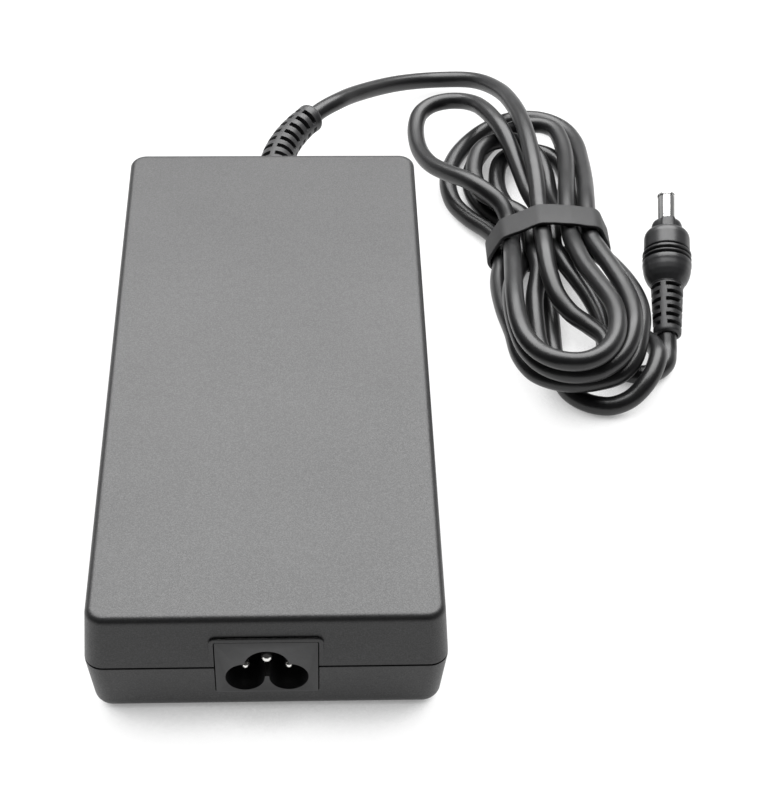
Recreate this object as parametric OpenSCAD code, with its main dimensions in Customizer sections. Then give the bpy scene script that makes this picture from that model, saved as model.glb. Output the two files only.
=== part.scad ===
// Laptop power adapter: two-piece housing, three-pole inlet, output cord in a hank, barrel plug.
// Millimetres. +Z up, +Y towards the cord end, origin under the middle of the housing.

/* [Housing] */
// Width of the housing at its seam
body_w = 83; // [74:0.5:100]
// Length of the housing at its seam
body_l = 180; // [174:0.5:220]
// Full height of the housing
body_h = 31; // [30:0.5:40]
// Height of the seam above the table
seam_z = 16; // [14:0.5:18]
// Draft of the upper walls, in degrees
upper_draft = 3.6; // [0:0.1:5]
// Draft of the lower walls, in degrees
lower_draft = 4.4; // [0:0.1:5]
// Thickness of the walls, top and floor
wall = 2.2; // [1.6:0.1:2.6]
// Radius of the upright corners
corner_r = 4.5; // [3:0.5:8]
// Rounding around the top face
top_r = 1.8; // [1:0.1:3]
// Rounding around the bottom face
low_r = 3.2; // [1.5:0.1:4]
// Height of the open line along the seam
seam_line = 0.35; // [0.2:0.05:0.6]
// Depth of the open line along the seam
seam_depth = 0.5; // [0.3:0.05:0.8]
// Height of the tongue that centres the shells
tongue_h = 1.4; // [0.8:0.1:2]

/* [Inlet] */
// Width of the inlet plate
plate_w = 23.4; // [22:0.1:28]
// Height of the inlet plate
plate_h = 17.2; // [16.8:0.1:18]
// Height of the plate's lower edge above the table
plate_z = 6.8; // [6:0.1:7.4]
// Depth of the inlet housing behind its plate
inlet_depth = 18; // [15:0.5:22]
// Distance between the live and neutral pins
pin_pitch = 10; // [9:0.1:11]
// Radius of the two lower lobes
lobe_r = 4.5; // [4:0.1:4.8]
// Radius of the upper lobe
upper_lobe_r = 5.2; // [5:0.1:5.4]
// Height of the upper lobe's centre over the pin line
upper_lobe_up = 3.75; // [3.5:0.05:4]
// Depth of the socket
socket_depth = 12; // [10:0.5:13]
// Diameter of the live and neutral pins
pin_d = 2.2; // [1.8:0.1:2.4]
// Diameter of the earth pin
earth_d = 2.6; // [2.2:0.1:2.8]
// Height of the earth pin over the pin line
earth_up = 4.45; // [4.2:0.05:5]
// How far the live and neutral tips stand back from the plate
pin_back = 2.7; // [1:0.1:4]
// How far the earth tip stands back from the plate
earth_back = 0.8; // [0.4:0.1:2]
// Width of the upright pad around the plate
pad_w = 26; // [25:0.5:30]
// Height of the pad above the plate
pad_up = 1.4; // [0.8:0.1:3]
// Radius of the pad's upper corners
pad_r = 1.6; // [0.6:0.1:2.5]
// Clearance around the plate
plate_gap = 0.25; // [0.15:0.05:0.4]

/* [Cord exit] */
// Height of the cord exit above the table
exit_z = 15.5; // [14:0.1:17]
// Diameter of the sleeve at the housing
sleeve_d = 10.8; // [9.6:0.1:12]
// Diameter of the sleeve at its tip
sleeve_tip_d = 8.8; // [7:0.1:9.6]
// Radius of the sleeve's bend
sleeve_bend = 51.5; // [40:0.5:120]
// Angle of the sleeve's bend, in degrees
sleeve_angle = 39; // [20:1:50]
// Straight start of the sleeve
sleeve_start = 8; // [2:0.5:10]
// Distance between two rows of slots
slot_pitch = 4; // [3:0.1:5]
// Width of a slot along the sleeve
slot_w = 1.8; // [0.8:0.05:2.2]
// Depth of a slot
slot_deep = 1.1; // [0.6:0.1:1.3]
// Diameter of the sleeve's neck in the wall
neck_d = 8.6; // [7:0.1:9.5]
// Diameter of the flange inside the wall
flange_d = 12.4; // [11:0.1:13]
// Thickness of the flange inside the wall
flange_t = 2; // [1.5:0.1:2.5]

/* [Cord] */
// Diameter of the cord
cord_d = 5.2; // [4:0.1:5.4]
// Width of the strap around the hank
strap_w = 9; // [6:0.5:14]
// Thickness of the strap
strap_t = 1.1; // [0.6:0.1:1.3]
// Clearance between strap and cord
strap_gap = 0.3; // [0.1:0.05:0.4]

/* [Plug] */
// Diameter of the barrel
barrel_d = 5.5; // [5:0.1:6.5]
// Length of the barrel outside the collar
barrel_l = 9.3; // [8.5:0.1:12]
// Bore of the barrel
barrel_bore = 4.6; // [4:0.05:4.7]
// Bore of the contact inside the barrel
contact_bore = 2.5; // [1.7:0.1:2.8]
// Diameter of the plug's front collar
collar_d = 8.8; // [8:0.1:10]
// Length of the front collar
collar_l = 3.3; // [2.8:0.1:5]
// Diameter of the plug's grip
grip_d = 13.1; // [12:0.1:13.8]
// Length of the grip between collar and relief
grip_l = 18.1; // [17:0.1:24]
// Diameter over the grip's rings
ring_d = 14; // [13:0.1:14.2]
// Width of a ring's groove
groove_w = 0.8; // [0.5:0.1:1]
// Depth of a ring's groove
groove_deep = 0.8; // [0.4:0.1:1.2]
// Length of the plug's strain relief
relief_l = 15.7; // [13:0.1:22]
// Diameter of the relief at the grip
relief_d = 9.2; // [8.4:0.1:10.4]
// Diameter of the relief at its end
relief_tip_d = 7.8; // [7:0.1:8.2]

/* [Circuit] */
// Space from the housing's side to the circuit board
board_side = 5.5; // [4.5:0.1:7]
// Space from the housing's end to the circuit board
board_end = 8; // [7:0.1:9]
// Thickness of the circuit board
board_t = 1.6; // [1:0.1:1.8]
// Height of the board's posts over the floor
post_h = 3.8; // [3.4:0.1:4]
// Diameter of the board's posts
post_d = 6; // [5:0.1:7]
// Thickness of the insulating sheets
sheet_t = 0.4; // [0.3:0.05:0.6]
// Thickness of the heat spreaders
spreader_t = 1.2; // [0.8:0.1:1.5]
// Space from the board's side to the heat spreaders
spreader_side = 9; // [8.5:0.1:14]
// Space from the board's end to the heat spreaders
spreader_end = 12; // [8:0.5:20]
// Free space between neighbouring components
part_gap = 2; // [1.5:0.1:2.2]
// Height of the tallest components
tall_h = 17.4; // [15:0.1:17.8]
// Diameter of the large capacitor
bulk_d = 17.4; // [15:0.1:17.8]
// Length of the large capacitor
bulk_l = 42; // [30:1:44]
// Width of the transformer
trafo_w = 33; // [28:0.5:34]
// Length of the transformer
trafo_l = 30; // [26:0.5:32]
// Diameter of the first mains choke
choke_a_d = 21; // [18:0.5:22]
// Diameter of the second mains choke
choke_b_d = 17; // [15:0.5:18]
// Width of the boost choke
boost_w = 27; // [22:0.5:28]
// Length of the boost choke
boost_l = 24; // [20:0.5:25]
// Diameter of an output capacitor
outcap_d = 10; // [8:0.5:10.5]
// Diameter of the output choke
outchoke_d = 15; // [12:0.5:16]
// Thickness of the upright heat sinks
sink_t = 2; // [1.5:0.1:2.5]

/* [Hidden] */
$fn = 48;
eps = 0.01;
fit = 0.15;

floor_z = wall;
roof_z = body_h - wall;
board_w = body_w - 2 * board_side;
board_l = body_l - 2 * board_end;
spreader_w = board_w - 2 * spreader_side;
spreader_l = board_l - 2 * spreader_end;
board_z = floor_z + post_h;
top_z = board_z + board_t;
board_y = -2;
board_front = board_y - board_l / 2;
board_back = board_y + board_l / 2;
roof_plate_z = roof_z - sheet_t - spreader_t;
tall = min(tall_h, roof_plate_z - top_z - 1);
edge_gap = 1;

// inlet
face_y = -body_l / 2 + (plate_z + plate_h - seam_z) * tan(upper_draft);
plate_y = face_y + 0.02;
inlet_back = plate_y + inlet_depth;
inlet_box_y = -body_l / 2 + wall + 0.2
    + max((seam_z - top_z) * tan(lower_draft), (plate_z + plate_h - seam_z) * tan(upper_draft));
pin_z = plate_z + 5.25;
lobe_z = pin_z + upper_lobe_up;
notch_z = pin_z + 0.25;
earth_z = pin_z + earth_up;

// sleeve: straight start, then one bend in the level plane
sleeve_len = sleeve_start + sleeve_bend * sleeve_angle * PI / 180;
back_y = body_l / 2;
slot_first = 1.6;
slot_rows = floor((sleeve_len - slot_first) / slot_pitch);

// plug: rear end of its relief, heading and tilt
plug_at = [110.4, 38, 4.6];
plug_turn = 5;
plug_tilt = 21;
plug_l = relief_l + grip_l + collar_l;
barrel_in = collar_l + 4;
barrel_stem = barrel_bore + 0.5;
barrel_neck = 0.1;
plug_dir = [sin(plug_turn) * cos(plug_tilt), cos(plug_turn) * cos(plug_tilt), sin(plug_tilt)];

// hank: strands at the waist as [x, z], named in the order in which the cord passes
cord_r = cord_d / 2;
waist_y = 77;
waist_run = 4.5;
down_1 = [77.8, 14.3];
up_1 = [75.5, 9];
down_2 = [88, 8.2];
up_2 = [78.5, 4.1];
down_3 = [94, 7.8];
up_3 = [66.4, 4.1];
down_4 = [91.8, 13.1];
up_4 = [72.3, 4.1];
down_5 = [85.8, 14];
up_5 = [69.1, 9.8];
down_6 = [81.5, 9.1];

function down(s) = [[s[0], waist_y + waist_run, s[1]], [s[0], waist_y - waist_run, s[1]]];
function up(s) = [[s[0], waist_y - waist_run, s[1]], [s[0], waist_y + waist_run, s[1]]];

sleeve_tip = [
    sleeve_bend * (1 - cos(sleeve_angle)),
    back_y + sleeve_start + sleeve_bend * sin(sleeve_angle),
    exit_z];
sleeve_dir = [sin(sleeve_angle), cos(sleeve_angle), 0];

lead_end = [down_1[0], waist_y + waist_run + cord_d, down_1[1] + 0.4];
lead_route = concat(
    [sleeve_tip, sleeve_tip + cord_d * sleeve_dir],
    [[19, 139.2, 15], [25, 147.2, 12.6], [39.5, 161.8, 7], [54, 168.5, 4], [64, 165, 6]],
    [[70.8, 153.5, 10.2], [74.4, 138, 14.6], [76.4, 122, 17.2], [77.4, 106, 17.4]],
    [[down_1[0], 94, 16.2], lead_end]);

hank_route = concat(
    [lead_end],
    down(down_1),
    [[77.7, 64, 14.6], [78.2, 55, 13.4], [80, 47.5, 11.4], [83.6, 42, 9.5], [88, 38, 8.6]],
    [[91.5, 33.4, 8.5], [92.2, 29, 8.5], [91, 24.6, 8.5], [87.5, 21.2, 8.5], [82.8, 20, 8.5]],
    [[78.1, 21.2, 8.5], [74.7, 24.7, 8.5], [73.4, 29.6, 8.5], [73.2, 38, 8.5], [73.8, 50, 8.6]],
    [[76.2, 63.5, 8.9]],
    up(up_1),
    [[73.6, 88.5, 8.8], [68, 94.5, 8.5], [62.4, 100.5, 8.5], [60.6, 108.5, 8.5], [61.2, 116, 8.5]],
    [[63.2, 122.2, 8.5], [67, 126.2, 8.5], [72.4, 127.6, 8.5], [77.6, 126, 7.6], [81.4, 122, 5.8]],
    [[83.2, 116.4, 4], [83.8, 106, 3.2], [85.4, 94, 5.2]],
    down(down_2),
    [[90.2, 66, 5.8], [94.6, 59.4, 3.9], [99.6, 52, 3.6], [102.8, 44.5, 4], [103.3, 38, 4.8]],
    [[105.4, 31.6, 6.8], [105.6, 25, 8.5], [102.4, 17.4, 7], [97, 12.8, 3.8], [91, 11.2, 2.6]],
    [[85.5, 12.6, 2.6], [81, 16.8, 2.6], [78.7, 24, 2.6], [78.2, 34, 2.6], [78.6, 46, 2.6]],
    [[78.8, 60, 3]],
    up(up_2),
    [[76.6, 90.5, 3], [71.6, 98, 2.6], [68.4, 108, 2.6], [68.6, 118.6, 2.6], [70.3, 124.6, 2.6]],
    [[74, 128.4, 2.6], [79.1, 129.8, 2.6], [84.2, 128.4, 2.6], [87.9, 124.6, 2.6]],
    [[89.6, 118.6, 2.6], [90.2, 106, 2.6], [92, 93.5, 4.4]],
    down(down_3),
    [[96.9, 65.5, 9], [100.3, 57, 9.7], [102.4, 47.5, 10.6], [102.6, 38.5, 11.1]],
    [[100.9, 30, 11], [98.8, 23.2, 9.4], [94.2, 17.6, 8.4], [88, 15, 8.3], [82.5, 14.2, 8.3]],
    [[77, 15.2, 8.2], [71.4, 18.8, 8], [68, 26, 7.8], [66.8, 37, 7.1], [65.2, 50, 5.4]],
    [[64.9, 63, 4.1]],
    up(up_3),
    [[63.4, 88, 3.6], [58.2, 95, 3], [54.2, 103, 2.6], [53, 114, 2.6], [55, 124, 2.6]],
    [[59.5, 133, 2.6], [66.5, 141.5, 2.6], [76, 147.5, 2.6], [85, 147.2, 2.6], [91, 142, 3]],
    [[94, 133, 4], [94.4, 120, 6], [93.8, 105, 9], [92.6, 92, 12.1]],
    down(down_4),
    [[93.8, 64, 13.9], [96.3, 54.5, 14.8], [98.4, 45, 15.5], [99.2, 36, 16.1], [98.3, 27.5, 16.2]],
    [[95.6, 20.5, 14.9], [91.8, 16, 14.1], [87, 12.9, 13.8], [82, 11.8, 13.8], [77, 12.8, 13.8]],
    [[72.5, 16, 13.7], [69, 22, 13.6], [67.2, 30.5, 13.5], [66.6, 40, 13], [67.2, 51, 11.4]],
    [[69.7, 62.5, 7.6]],
    up(up_4),
    [[70.4, 88.5, 3], [64.8, 96.5, 2.6], [60.8, 106, 2.6], [60, 116, 2.6], [62.5, 125, 2.6]],
    [[67.2, 133, 3.2], [72.6, 137, 4.8], [78.4, 138.4, 6.4], [83.6, 137, 7.7], [87.2, 133.2, 8.5]],
    [[88.6, 127, 9], [89, 117, 9.8], [88, 104, 11.4], [86.6, 92, 13.4]],
    down(down_5),
    [[86.4, 64, 15.6], [88, 55, 16.6], [90.8, 45, 17.9], [93.3, 35.5, 19.1], [93.6, 27, 19.7]],
    [[92, 19.5, 19.7], [88.4, 13.8, 19.6], [83, 10.6, 19.5], [77, 10.8, 19.5], [71.8, 14.2, 19.4]],
    [[68.4, 20, 19.4], [66.8, 28, 19.4], [66.6, 38, 19.1], [67.2, 49, 17.8], [68, 60.5, 15.6]],
    up(up_5),
    [[67.2, 88, 12.7], [63, 92.6, 14.5], [58, 97.6, 14.8], [52.2, 104.5, 12.8], [47.6, 112, 10.5]],
    [[44.8, 121, 8.7], [43.8, 130, 8], [44.2, 137.6, 8], [45.8, 143, 8.2], [49.4, 146.6, 8.8]],
    [[54.4, 147.9, 9.4], [59.4, 146.4, 10.4], [63, 142.6, 11.8], [65.4, 137.4, 13.2]],
    [[67.6, 131.5, 14.1], [69.6, 125.5, 14.5], [72, 117.5, 13.2], [74.2, 107.5, 11.4]],
    [[76.4, 98, 9.8], [79.8, 88.5, 8.9]],
    down(down_6),
    [[83.8, 66, 8.7], [86.8, 59, 8.2], [89.8, 51.5, 7.6], [92, 44.5, 6.2], [92.8, 38.5, 3.8]],
    [[92.8, 32.6, 2.7], [94, 28.3, 2.6], [97.1, 25.2, 2.6], [101.4, 24, 2.6], [105.7, 25.2, 2.6]],
    [[108.8, 28.4, 2.6]],
    [plug_at - cord_d * plug_dir, plug_at]);

// smooth curve through a route
function unit(v) = v / norm(v);
function root(v) = sqrt(norm(v));
function point(r, i) = i < 0 ? 2 * r[0] - r[1] : i >= len(r) ? 2 * r[len(r) - 1] - r[len(r) - 2] : r[i];
function slope(a, b, c) =
    let (u = root(b - a), v = root(c - b))
    (b - a) / u - (c - a) / (u + v) + (c - b) / v;
function curve_at(p, q, m, n, t) =
    (2 * t ^ 3 - 3 * t ^ 2 + 1) * p + (t ^ 3 - 2 * t ^ 2 + t) * m
    + (3 * t ^ 2 - 2 * t ^ 3) * q + (t ^ 3 - t ^ 2) * n;
function turn_at(r, i) =
    i < 1 || i > len(r) - 2 ? 0
    : acos(min(1, unit(r[i] - r[i - 1]) * unit(r[i + 1] - r[i])));
function steps_at(r, i, most) = max(turn_at(r, i), turn_at(r, i + 1)) > 13 ? most : 1;
function above_table(p) = [p[0], p[1], max(p[2], cord_r)];
function smooth(r, most) = concat(
    [for (i = [0 : len(r) - 2])
        let (
            p = r[i],
            q = r[i + 1],
            w = root(q - p),
            m = w * slope(point(r, i - 1), p, q),
            n = w * slope(p, q, point(r, i + 2)),
            k = steps_at(r, i, most))
        for (j = [0 : k - 1]) above_table(curve_at(p, q, m, n, j / k))],
    [r[len(r) - 1]]);

// rings of a tube along a curve, and the tube
function heading(c, i) =
    i == 0 ? unit(c[1] - c[0])
    : i == len(c) - 1 ? unit(c[i] - c[i - 1])
    : unit(unit(c[i] - c[i - 1]) + unit(c[i + 1] - c[i]));
function ring(p, t, r, n) =
    let (s = unit(cross(t, [0, 0, 1])), u = cross(s, t))
    [for (k = [0 : n - 1]) p + r * (sin(360 * k / n) * s - cos(360 * k / n) * u)];
module tube(c, r, n) {
    m = len(c);
    points = [for (i = [0 : m - 1]) each ring(c[i], heading(c, i), r, n)];
    sides = [
        for (i = [0 : m - 2])
            for (k = [0 : n - 1])
                let (a = i * n + k, b = i * n + (k + 1) % n)
                each [[a, b, b + n], [a, b + n, a + n]]];
    ends = [for (k = [1 : n - 2]) each [[0, k + 1, k], [(m - 1) * n, (m - 1) * n + k, (m - 1) * n + k + 1]]];
    polyhedron(points = points, faces = concat(sides, ends), convexity = 10);
}

// least gap of the hank to itself, measured between points along its rings' axis
function between(c, k) = [
    for (i = [0 : len(c) - 2])
        for (j = [0 : k - 1]) c[i] + (c[i + 1] - c[i]) * j / k];
function travel(c, i = 1, s = [0]) =
    i >= len(c) ? s : travel(c, i + 1, concat(s, [s[i - 1] + norm(c[i] - c[i - 1])]));
hank_curve = smooth(hank_route, 2);
lead_curve = smooth(lead_route, 2);
hank_points = between(hank_curve, 5);
hank_travel = travel(hank_points);
hank_gap = min([
    for (i = [0 : len(hank_points) - 1])
        for (j = [i + 1 : 1 : len(hank_points) - 1])
            if (hank_travel[j] - hank_travel[i] > 3 * cord_d) norm(hank_points[i] - hank_points[j])]) - cord_d;
lead_travel = travel(lead_curve);
echo(str("hank: ", len(hank_curve), " rings, least gap to itself ", hank_gap, " mm"));
echo(str("cord length ", hank_travel[len(hank_travel) - 1] + lead_travel[len(lead_travel) - 1], " mm"));

// ---------- helpers ----------
module corners(w, l, r) {
    for (sx = [-1, 1])
        for (sy = [-1, 1])
            translate([sx * (w / 2 - r), sy * (l / 2 - r), 0])
                children();
}
module edge_ring(r, e) {
    rotate_extrude($fn = 48)
        intersection() {
            translate([r - e, 0])
                circle(r = e, $fn = 32);
            translate([0, -e])
                square([r, 2 * e]);
        }
}
// drafted block with upright corners r and an edge rounding e at its far face
module form(w, l, z0, z1, draft, r, e) {
    inset = abs(z1 - z0) * tan(draft);
    dir = z1 > z0 ? 1 : -1;
    hull() {
        corners(w, l, r)
            translate([0, 0, min(z0, z0 - dir * eps)])
                cylinder(r = r, h = eps);
        corners(w - 2 * inset, l - 2 * inset, r)
            translate([0, 0, z1 - dir * e])
                edge_ring(r, e);
    }
}
module block_prism(w, l, z, h, r) {
    hull()
        corners(w, l, r)
            translate([0, 0, z])
                cylinder(r = r, h = h);
}
// board with rounded corners, standing in the XZ plane and running along +Y
module plate_xz(w, h, d, r) {
    translate([-w / 2 + r, 0, 0])
        cube([w - 2 * r, d, h]);
    translate([-w / 2, 0, r])
        cube([w, d, h - 2 * r]);
    for (sx = [-1, 1])
        for (z = [r, h - r])
            translate([sx * (w / 2 - r), 0, z])
                rotate([-90, 0, 0])
                    cylinder(r = r, h = d);
}
module rod_y(x, y, z, d, l) {
    translate([x, y, z])
        rotate([-90, 0, 0])
            cylinder(d = d, h = l);
}
module on_board(x, y, w, l, h) {
    translate([x - w / 2, y, top_z])
        cube([w, l, h]);
}
function left_x(w) = -board_w / 2 + edge_gap + w / 2;
function right_x(w) = board_w / 2 - edge_gap - w / 2;

// ---------- housing ----------
module window() {
    translate([0, -body_l / 2 - 2, plate_z - plate_gap])
        plate_xz(plate_w + 2 * plate_gap, plate_h + 2 * plate_gap, wall + 6, 0.5);
}
module exit_hole() {
    rod_y(0, back_y - 8, exit_z, neck_d + 2 * fit, 12);
}
// upright pad around the plate, flush with the wall at the seam
module inlet_pad() {
    intersection() {
        translate([0, -body_l / 2 + 0.02, seam_z - 4])
            plate_xz(pad_w, 4 + plate_z + plate_h + pad_up - seam_z, wall - 0.4, pad_r);
        translate([-pad_w, -body_l / 2 - 1, seam_z])
            cube([2 * pad_w, wall + 2, 20]);
    }
}
module upper_shell() {
    color([0.09, 0.09, 0.1])
    difference() {
        union() {
            form(body_w, body_l, seam_z, body_h, upper_draft, corner_r, top_r);
            inlet_pad();
        }
        form(body_w - 2 * wall, body_l - 2 * wall, seam_z - eps, roof_z, upper_draft,
            max(corner_r - wall, 1), max(top_r - wall, 0.8));
        block_prism(body_w - wall + 0.1, body_l - wall + 0.1, seam_z - 1, 1 + tongue_h + 0.2,
            max(corner_r - wall / 2, 1));
        window();
        exit_hole();
    }
}
module lower_shell() {
    color([0.08, 0.08, 0.09])
    difference() {
        union() {
            form(body_w, body_l, seam_z - seam_line, 0, lower_draft, corner_r, low_r);
            block_prism(body_w - 2 * seam_depth, body_l - 2 * seam_depth, seam_z - 2, 2,
                corner_r - seam_depth);
            block_prism(body_w - wall - 0.2, body_l - wall - 0.2, seam_z - 2, 2 + tongue_h,
                max(corner_r - wall / 2 - 0.1, 1));
        }
        difference() {
            union() {
                form(body_w - 2 * wall, body_l - 2 * wall, seam_z, floor_z, lower_draft,
                    max(corner_r - wall, 1), max(low_r - wall, 0.8));
                block_prism(body_w - 2 * wall, body_l - 2 * wall, seam_z - 0.5, 3 + tongue_h,
                    max(corner_r - wall, 1));
            }
            for (sx = [-1, 1])
                for (sy = [-1, 1])
                    translate([sx * (board_w / 2 - post_d / 2 - 0.5),
                        board_y + sy * (board_l / 2 - post_d), floor_z - 1])
                        cylinder(d = post_d, h = post_h + 1);
        }
        window();
        exit_hole();
    }
}

// ---------- inlet ----------
module socket_cut() {
    for (sx = [-1, 1])
        rod_y(sx * pin_pitch / 2, plate_y - 1, pin_z, 2 * lobe_r, socket_depth + 1);
    intersection() {
        rod_y(0, plate_y - 1, lobe_z, 2 * upper_lobe_r, socket_depth + 1);
        translate([-10, plate_y - 1, notch_z])
            cube([20, socket_depth + 1, 20]);
    }
}
module inlet_housing() {
    color([0.12, 0.12, 0.13])
    difference() {
        union() {
            translate([0, plate_y, plate_z])
                plate_xz(plate_w, plate_h, wall + 2.2, 0.4);
            translate([-plate_w / 2 + 0.6, inlet_box_y, plate_z])
                cube([plate_w - 1.2, inlet_back - inlet_box_y, plate_h - 0.6]);
        }
        socket_cut();
        for (sx = [-1, 1])
            rod_y(sx * pin_pitch / 2, plate_y, pin_z, pin_d + 0.06, inlet_depth + 1);
        rod_y(0, plate_y, earth_z, earth_d + 0.06, inlet_depth + 1);
    }
}
// round pin with a domed tip, running from its tip to behind the inlet
module pin(x, z, d, back) {
    translate([x, plate_y + back, z])
        rotate([-90, 0, 0])
            rotate_extrude()
                union() {
                    intersection() {
                        translate([0, d / 2])
                            circle(d = d);
                        square([d, d / 2]);
                    }
                    translate([0, d / 2])
                        square([d / 2, inlet_depth + 2 - back - d / 2]);
                }
}
module pin_live() {
    color([0.8, 0.8, 0.82])
    pin(-pin_pitch / 2, pin_z, pin_d, pin_back);
}
module pin_neutral() {
    color([0.8, 0.8, 0.82])
    pin(pin_pitch / 2, pin_z, pin_d, pin_back);
}
module pin_earth() {
    color([0.8, 0.8, 0.82])
    pin(0, earth_z, earth_d, earth_back);
}

// ---------- cord exit sleeve ----------
// place children at distance s along the sleeve, +Z pointing along it
module along_sleeve(s) {
    if (s <= sleeve_start)
        translate([0, back_y + s, exit_z])
            rotate([-90, 0, 0])
                children();
    else
        translate([sleeve_bend, back_y + sleeve_start, exit_z])
            rotate([0, 0, -(s - sleeve_start) / sleeve_bend * 180 / PI])
                translate([-sleeve_bend, 0, 0])
                    rotate([-90, 0, 0])
                        children();
}
function sleeve_point(s) =
    s <= sleeve_start ? [0, back_y + s, exit_z]
    : let (a = (s - sleeve_start) / sleeve_bend * 180 / PI)
        [sleeve_bend * (1 - cos(a)), back_y + sleeve_start + sleeve_bend * sin(a), exit_z];
function sleeve_head(s) =
    let (a = max(0, s - sleeve_start) / sleeve_bend * 180 / PI)
        [sin(a), cos(a), 0];
function sleeve_radius(s) =
    let (t = min(1, s / (sleeve_len - 5)))
        (sleeve_d + (sleeve_tip_d - sleeve_d) * t) / 2;
module tapered_sleeve(n, m) {
    points = [for (i = [0 : m])
        let (s = fit + (sleeve_len - fit) * i / m)
        each ring(sleeve_point(s), sleeve_head(s), sleeve_radius(s), n)];
    sides = [
        for (i = [0 : m - 1])
            for (k = [0 : n - 1])
                let (a = i * n + k, b = i * n + (k + 1) % n)
                each [[a, b, b + n], [a, b + n, a + n]]];
    ends = [for (k = [1 : n - 2]) each [[0, k + 1, k], [m * n, m * n + k, m * n + k + 1]]];
    polyhedron(points = points, faces = concat(sides, ends), convexity = 6);
}
module cord_sleeve() {
    color([0.1, 0.1, 0.11])
    union() {
        difference() {
            tapered_sleeve(24, 24);
            for (i = [0 : slot_rows - 1])
                for (q = [0 : 3])
                    along_sleeve(slot_first + i * slot_pitch)
                        rotate([0, 0, 45 + 90 * q])
                            translate([sleeve_radius(slot_first + i * slot_pitch) - slot_deep, -sleeve_d * 0.28, 0])
                                cube([4, sleeve_d * 0.56, slot_w]);
        }
        rod_y(0, back_y - wall - 0.6, exit_z, neck_d, wall + 0.6 + 2 * fit);
        rod_y(0, back_y - wall - 0.6 - flange_t, exit_z, flange_d, flange_t);
    }
}

// ---------- cord ----------
module cord_lead() {
    color([0.07, 0.07, 0.08])
    tube(lead_curve, cord_r, 8);
}
module cord_hank() {
    color([0.08, 0.08, 0.09])
    tube(hank_curve, cord_r, 6);
}
// outline around all strands that pass under the strap
module strap_outline(grow) {
    hull()
        for (p = hank_points)
            if (abs(p[1] - waist_y) < strap_w / 2 + 0.8)
                translate([p[0], p[2]])
                    circle(r = cord_r + strap_gap + grow, $fn = 28);
}
module hank_strap() {
    color([0.16, 0.16, 0.17])
    translate([0, waist_y + strap_w / 2, 0])
        rotate([90, 0, 0])
            linear_extrude(strap_w)
                difference() {
                    strap_outline(strap_t);
                    strap_outline(0);
                }
}

// ---------- plug ----------
module at_plug(s) {
    translate(plug_at + s * plug_dir)
        rotate([-90 + plug_tilt, 0, -plug_turn])
            children();
}
module plug_relief() {
    pitch = 2.4;
    rows = floor((relief_l - 1.2) / pitch);
    color([0.1, 0.1, 0.11])
    at_plug(0)
    difference() {
        cylinder(d1 = relief_tip_d, d2 = relief_d, h = relief_l);
        for (i = [0 : rows - 1])
            for (q = [0 : 3])
                rotate([0, 0, 45 + 90 * q])
                    translate([(relief_tip_d + (relief_d - relief_tip_d) * i / rows) / 2 - 0.9,
                        -2.4, 1.95 + pitch * i])
                        cube([4, 4.8, 1.1]);
    }
}
module plug_grip() {
    r = grip_d / 2;
    z1 = relief_l;
    z2 = z1 + grip_l;
    color([0.11, 0.11, 0.12])
    at_plug(0)
    difference() {
        rotate_extrude()
            polygon([
                [0, z1],
                [relief_d / 2 + 0.1, z1],
                [r - 0.15, z1 + 3.2],
                [ring_d / 2 - 0.15, z1 + 5.8],
                [ring_d / 2, z1 + 6.6],
                [ring_d / 2, z1 + 7.7],
                [ring_d / 2 - groove_deep, z1 + 7.7],
                [ring_d / 2 - groove_deep, z1 + 7.7 + groove_w],
                [ring_d / 2, z1 + 7.7 + groove_w],
                [ring_d / 2, z1 + 9.1],
                [ring_d / 2 - groove_deep, z1 + 9.1],
                [ring_d / 2 - groove_deep, z1 + 9.1 + groove_w],
                [ring_d / 2, z1 + 9.1 + groove_w],
                [ring_d / 2, z1 + 10.7],
                [ring_d / 2 - groove_deep, z1 + 10.7],
                [ring_d / 2 - groove_deep, z1 + 10.7 + groove_w],
                [r, z1 + 10.7 + groove_w],
                [r, z2 - 1.8],
                [r - 0.6, z2 - 0.6],
                [r - 1.8, z2],
                [collar_d / 2, z2],
                [collar_d / 2, z2 + collar_l - 0.5],
                [collar_d / 2 - 0.5, z2 + collar_l],
                [0, z2 + collar_l]]);
        translate([0, 0, z2 - 4])
            cylinder(d = barrel_stem + 0.04, h = collar_l + 6);
    }
}
module plug_barrel() {
    color([0.82, 0.82, 0.84])
    at_plug(plug_l - barrel_in)
    difference() {
        union() {
            cylinder(d = barrel_stem, h = barrel_in + 1);
            translate([0, 0, barrel_in + barrel_neck])
                cylinder(d = barrel_d, h = barrel_l - barrel_neck);
        }
        translate([0, 0, 3])
            cylinder(d = barrel_bore, h = barrel_l + barrel_in);
    }
}
module plug_insulator() {
    color([0.05, 0.05, 0.05])
    at_plug(plug_l - barrel_in + 3)
    difference() {
        cylinder(d = barrel_bore - 0.04, h = barrel_l + barrel_in - 3.5);
        translate([0, 0, 3])
            cylinder(d = contact_bore + 0.9, h = barrel_l + barrel_in);
    }
}
module plug_contact() {
    color([0.78, 0.7, 0.5])
    at_plug(plug_l - barrel_in + 6)
    difference() {
        cylinder(d = contact_bore + 0.86, h = barrel_l + barrel_in - 7);
        translate([0, 0, 2])
            cylinder(d = contact_bore, h = barrel_l + barrel_in);
    }
}

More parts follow.
